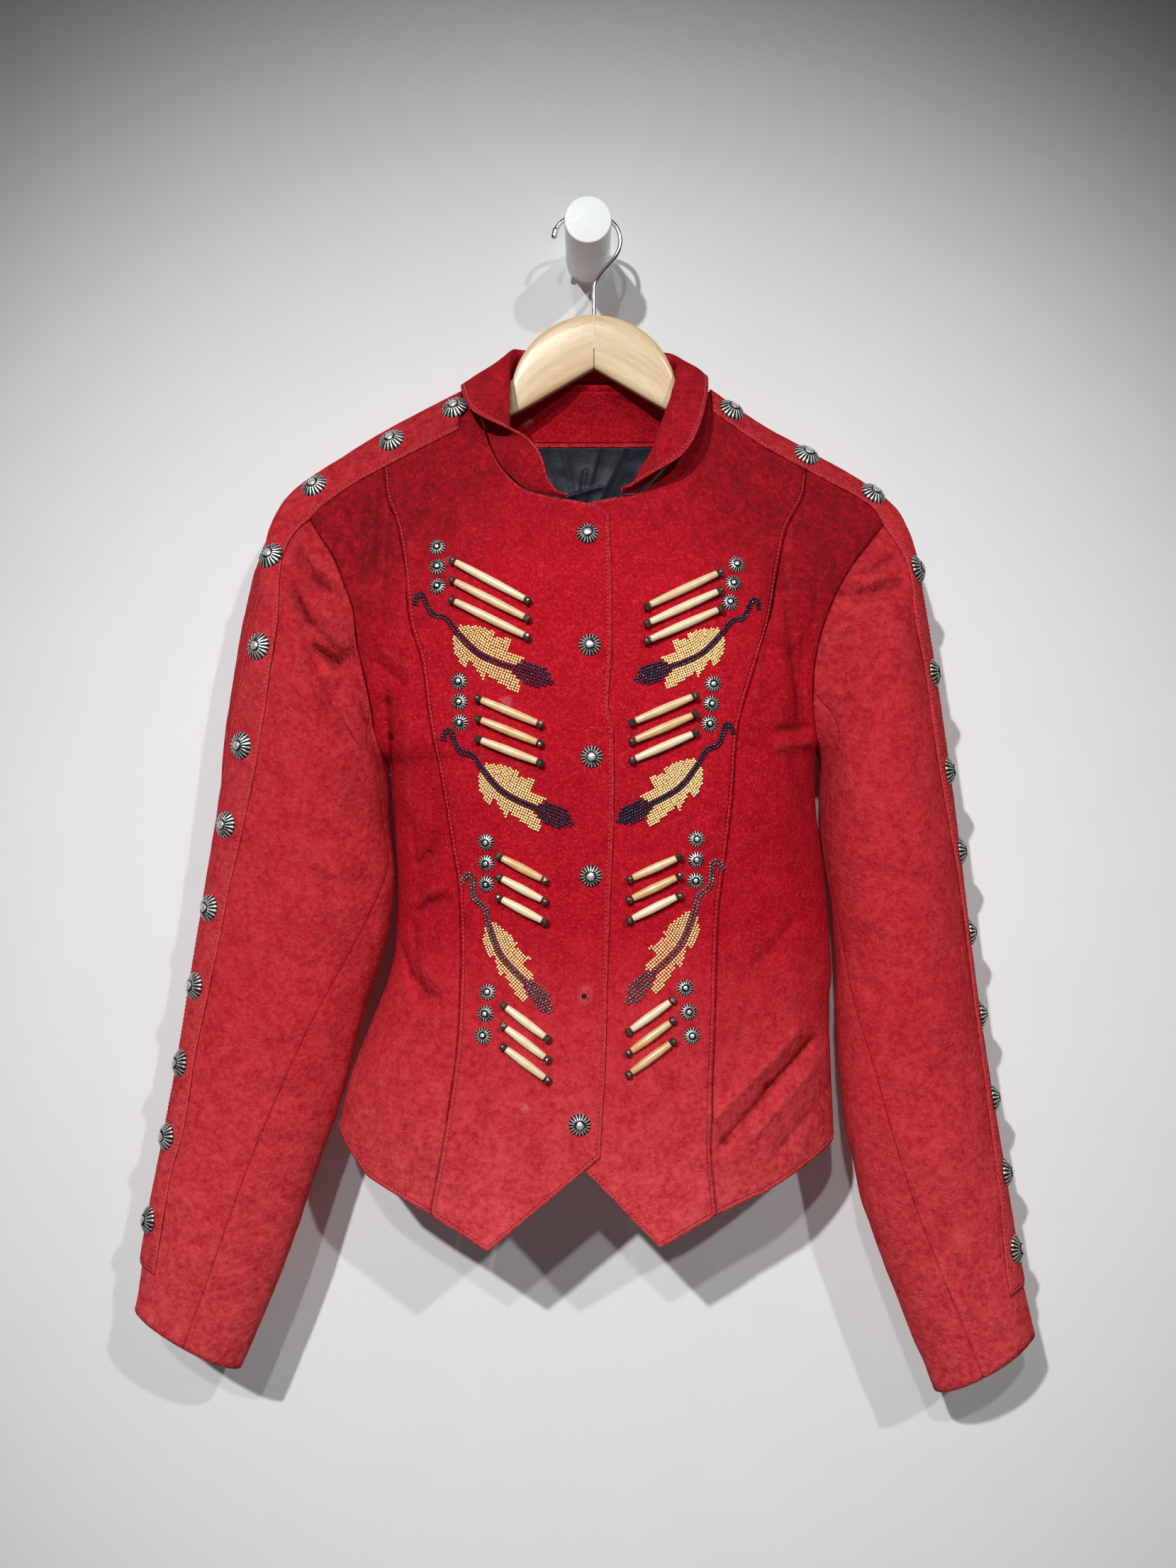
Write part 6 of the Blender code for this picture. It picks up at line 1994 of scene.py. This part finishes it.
HOOK = table(
    "x     z      radius",
    (-26.6, 1.4, 1.6),
    (-26.2, 3, 2.3),
    (-25, 7.8, 2.3),
    (-24, 9.5, 1.75),
    (-20.2, 14.2, 1.75),
    (-14, 17.6, 1.75),
    (-7, 19.3, 1.75),
    (0, 19.7, 1.75),
    (7.5, 19.4, 1.75),
    (14, 17, 1.75),
    (19.5, 13, 1.75),
    (23, 8, 1.75),
    (24.8, 1, 1.75),
    (24.2, -5.5, 1.75),
    (21.8, -11.3, 1.75),
    (17.2, -17.4, 1.75),
    (11.4, -24, 1.75),
    (7.4, -29.4, 1.75),
    (5.2, -34.5, 1.75),
    (4.6, -40, 1.75),
    (4.6, -57.4, 1.75),
)
HOOK_STEPS, HOOK_ROUND = 120, 17
line = np.array([HOOK["x"], np.full(len(HOOK["x"]), HANGER_Y), HOOK["z"]]).T
line = refined(line[:, None, :], HOOK_STEPS, 0)[:, 0]
radius = np.interp(np.linspace(0, len(HOOK["x"]) - 1, HOOK_STEPS), range(len(HOOK["x"])), HOOK["radius"])
run = np.gradient(line, axis=0)
run /= np.linalg.norm(run, axis=1, keepdims=True)
aside = np.stack([run[:, 2], 0 * radius, -run[:, 0]], axis=1)
turn = np.linspace(0, 2 * pi, HOOK_ROUND)
points = line + radius[:, None] * (
    np.cos(turn)[:, None, None] * aside + np.sin(turn)[:, None, None] * np.array([0, 1, 0])
)
bm, order = grid_on(points)
close_tube(bm)
chrome, tree, shader, place = start_finish("bright steel", Metallic=1.0)
wipe = tree.noise(place, 300, 4, 0.6)
tree.feed(
    shader,
    Base_Color=tree.blend(wipe, (0.62, 0.62, 0.64, 1), (0.74, 0.74, 0.75, 1)),
    Roughness=tree.span(wipe, 0.3, 0.7, 0.10, 0.24),
)
hang_piece("hanger_hook_steel", mesh_of("hanger_hook_steel", bm), chrome, ["hanger_hook"], 50)

# Wall peg
# A stout round peg, painted matt white with the brush's faint ridges. Its back is flat on the wall, and
# its front edge is eased.

PEG_R, PEG_LONG = 17.5, 95.0
bm = bmesh.new()
bmesh.ops.create_cone(
    bm,
    cap_ends=True,
    segments=72,
    radius1=PEG_R * MM,
    radius2=PEG_R * MM,
    depth=PEG_LONG * MM,
    matrix=Matrix.Translation((0, -PEG_LONG / 2 * MM, 0)) @ Matrix.Rotation(radians(90), 4, "X"),
)
front_rim = [edge for edge in bm.edges if all(vert.co.y < -PEG_LONG * MM * 0.99 for vert in edge.verts)]
bmesh.ops.bevel(bm, geom=front_rim, offset=1.0 * MM, segments=3, profile=0.5, affect="EDGES", material=-1)
paint, tree, shader, place = start_finish("white paint")
brush = tree.noise(place, 240, 4, 0.6)
tree.feed(
    shader,
    Base_Color=tree.blend(brush, (0.87, 0.89, 0.90, 1), (0.92, 0.94, 0.95, 1)),
    Roughness=tree.span(brush, 0.3, 0.7, 0.42, 0.58),
)
tree.bump(shader, brush, 0.3, 0.0004)
hang_piece("wall_peg_paint", mesh_of("wall_peg_paint", bm), paint, ["wall_peg"], 40)

# Wall, floor, light and camera
# A plain pale wall, seen only from its front so that it never hides the jacket, and a floor. Lamps hang
# above and in front, and the camera looks level at the jacket from the photo's distance.

pale_wall, tree, shader, place = start_finish("pale plaster", Roughness=0.85)
plaster = tree.noise(place, 18, 5, 0.6)
tree.feed(shader, Base_Color=tree.blend(plaster, (0.76, 0.78, 0.785, 1), (0.80, 0.815, 0.82, 1)))
behind = tree.add("ShaderNodeNewGeometry").outputs["Backfacing"]
see_through = tree.add("ShaderNodeMixShader", Fac=behind)
tree.put(see_through.inputs[1], shader.outputs["BSDF"])
tree.put(see_through.inputs[2], tree.add("ShaderNodeBsdfTransparent").outputs["BSDF"])
tree.feed(pale_wall.node_tree.nodes["Material Output"], Surface=see_through.outputs["Shader"])
for name, place, turn in (("wall", (0, 0.004, 0), radians(90)), ("floor", (0, -2, -1.7), 0)):
    bm = bmesh.new()
    bmesh.ops.create_grid(bm, x_segments=1, y_segments=1, size=4)
    mesh = mesh_of(name, bm)
    mesh.transform(Matrix.Translation(place) @ Matrix.Rotation(turn, 4, "X"))
    mesh.materials.append(pale_wall)
    sheet = bpy.data.objects.new(name, mesh)
    bpy.context.collection.objects.link(sheet)
    sheet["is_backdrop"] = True



def hang_lamp(name, kind, place, aim_z, watts, **settings):
    """A lamp turned to a height on the wall's middle line."""
    light = bpy.data.lights.new(name, kind)
    light.energy = watts
    for setting, value in settings.items():
        setattr(light, setting, value)
    lamp = bpy.data.objects.new(name, light)
    lamp.location = place
    lamp.rotation_euler = (Vector((0, 0, aim_z)) - lamp.location).to_track_quat("-Z", "Y").to_euler()
    bpy.context.collection.objects.link(lamp)


SPOTS = table(
    "x     y     z     aim_z half_angle watts",
    (-0.95, -3.30, 1.20, -0.64, 15.2, 400),
    (-0.25, -3.40, 1.20, -0.64, 13, 105),
    (1.30, -3.15, 1.20, -0.60, 13.5, 148),
)
for k, (x, y, z, aim_z, half_angle, watts) in enumerate(zip(*SPOTS.values())):
    beam = {"shadow_soft_size": 0.05, "spot_size": radians(2 * half_angle), "spot_blend": 1.0}
    hang_lamp(f"lamp {k + 1}", "SPOT", (x, y, z), aim_z, watts, **beam)
hang_lamp("soft front lamp", "AREA", (0, -2.6, -1.2), -0.5, 2, size=1.8)
hang_lamp("soft lamp for the back", "AREA", (0.8, 3.2, 1.0), -0.5, 20, size=2.0, use_shadow=False)
world = bpy.data.worlds.new("room")
world.use_nodes = True
world.node_tree.nodes["Background"].inputs["Color"].default_value = (0.84, 0.90, 1.0, 1)
world.node_tree.nodes["Background"].inputs["Strength"].default_value = 0.04
bpy.context.scene.world = world
bpy.context.scene.view_settings.view_transform = "Standard"

PHOTO_TALL, FOCAL_PX, SENSOR = 2212, 2297, 36
CAMERA_AWAY, CAMERA_Z = 1.30, -0.418
camera_data = bpy.data.cameras.new("camera")
camera_data.lens = FOCAL_PX / PHOTO_TALL * SENSOR
camera_data.sensor_fit = "VERTICAL"
camera_data.sensor_height = SENSOR
camera_data.sensor_width = SENSOR
camera_data.clip_end = 20
camera = bpy.data.objects.new("camera", camera_data)
camera.location = (0, -CAMERA_AWAY, CAMERA_Z)
camera.rotation_euler = (radians(90), 0, 0)
bpy.context.collection.objects.link(camera)
bpy.context.scene.camera = camera

low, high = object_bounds()
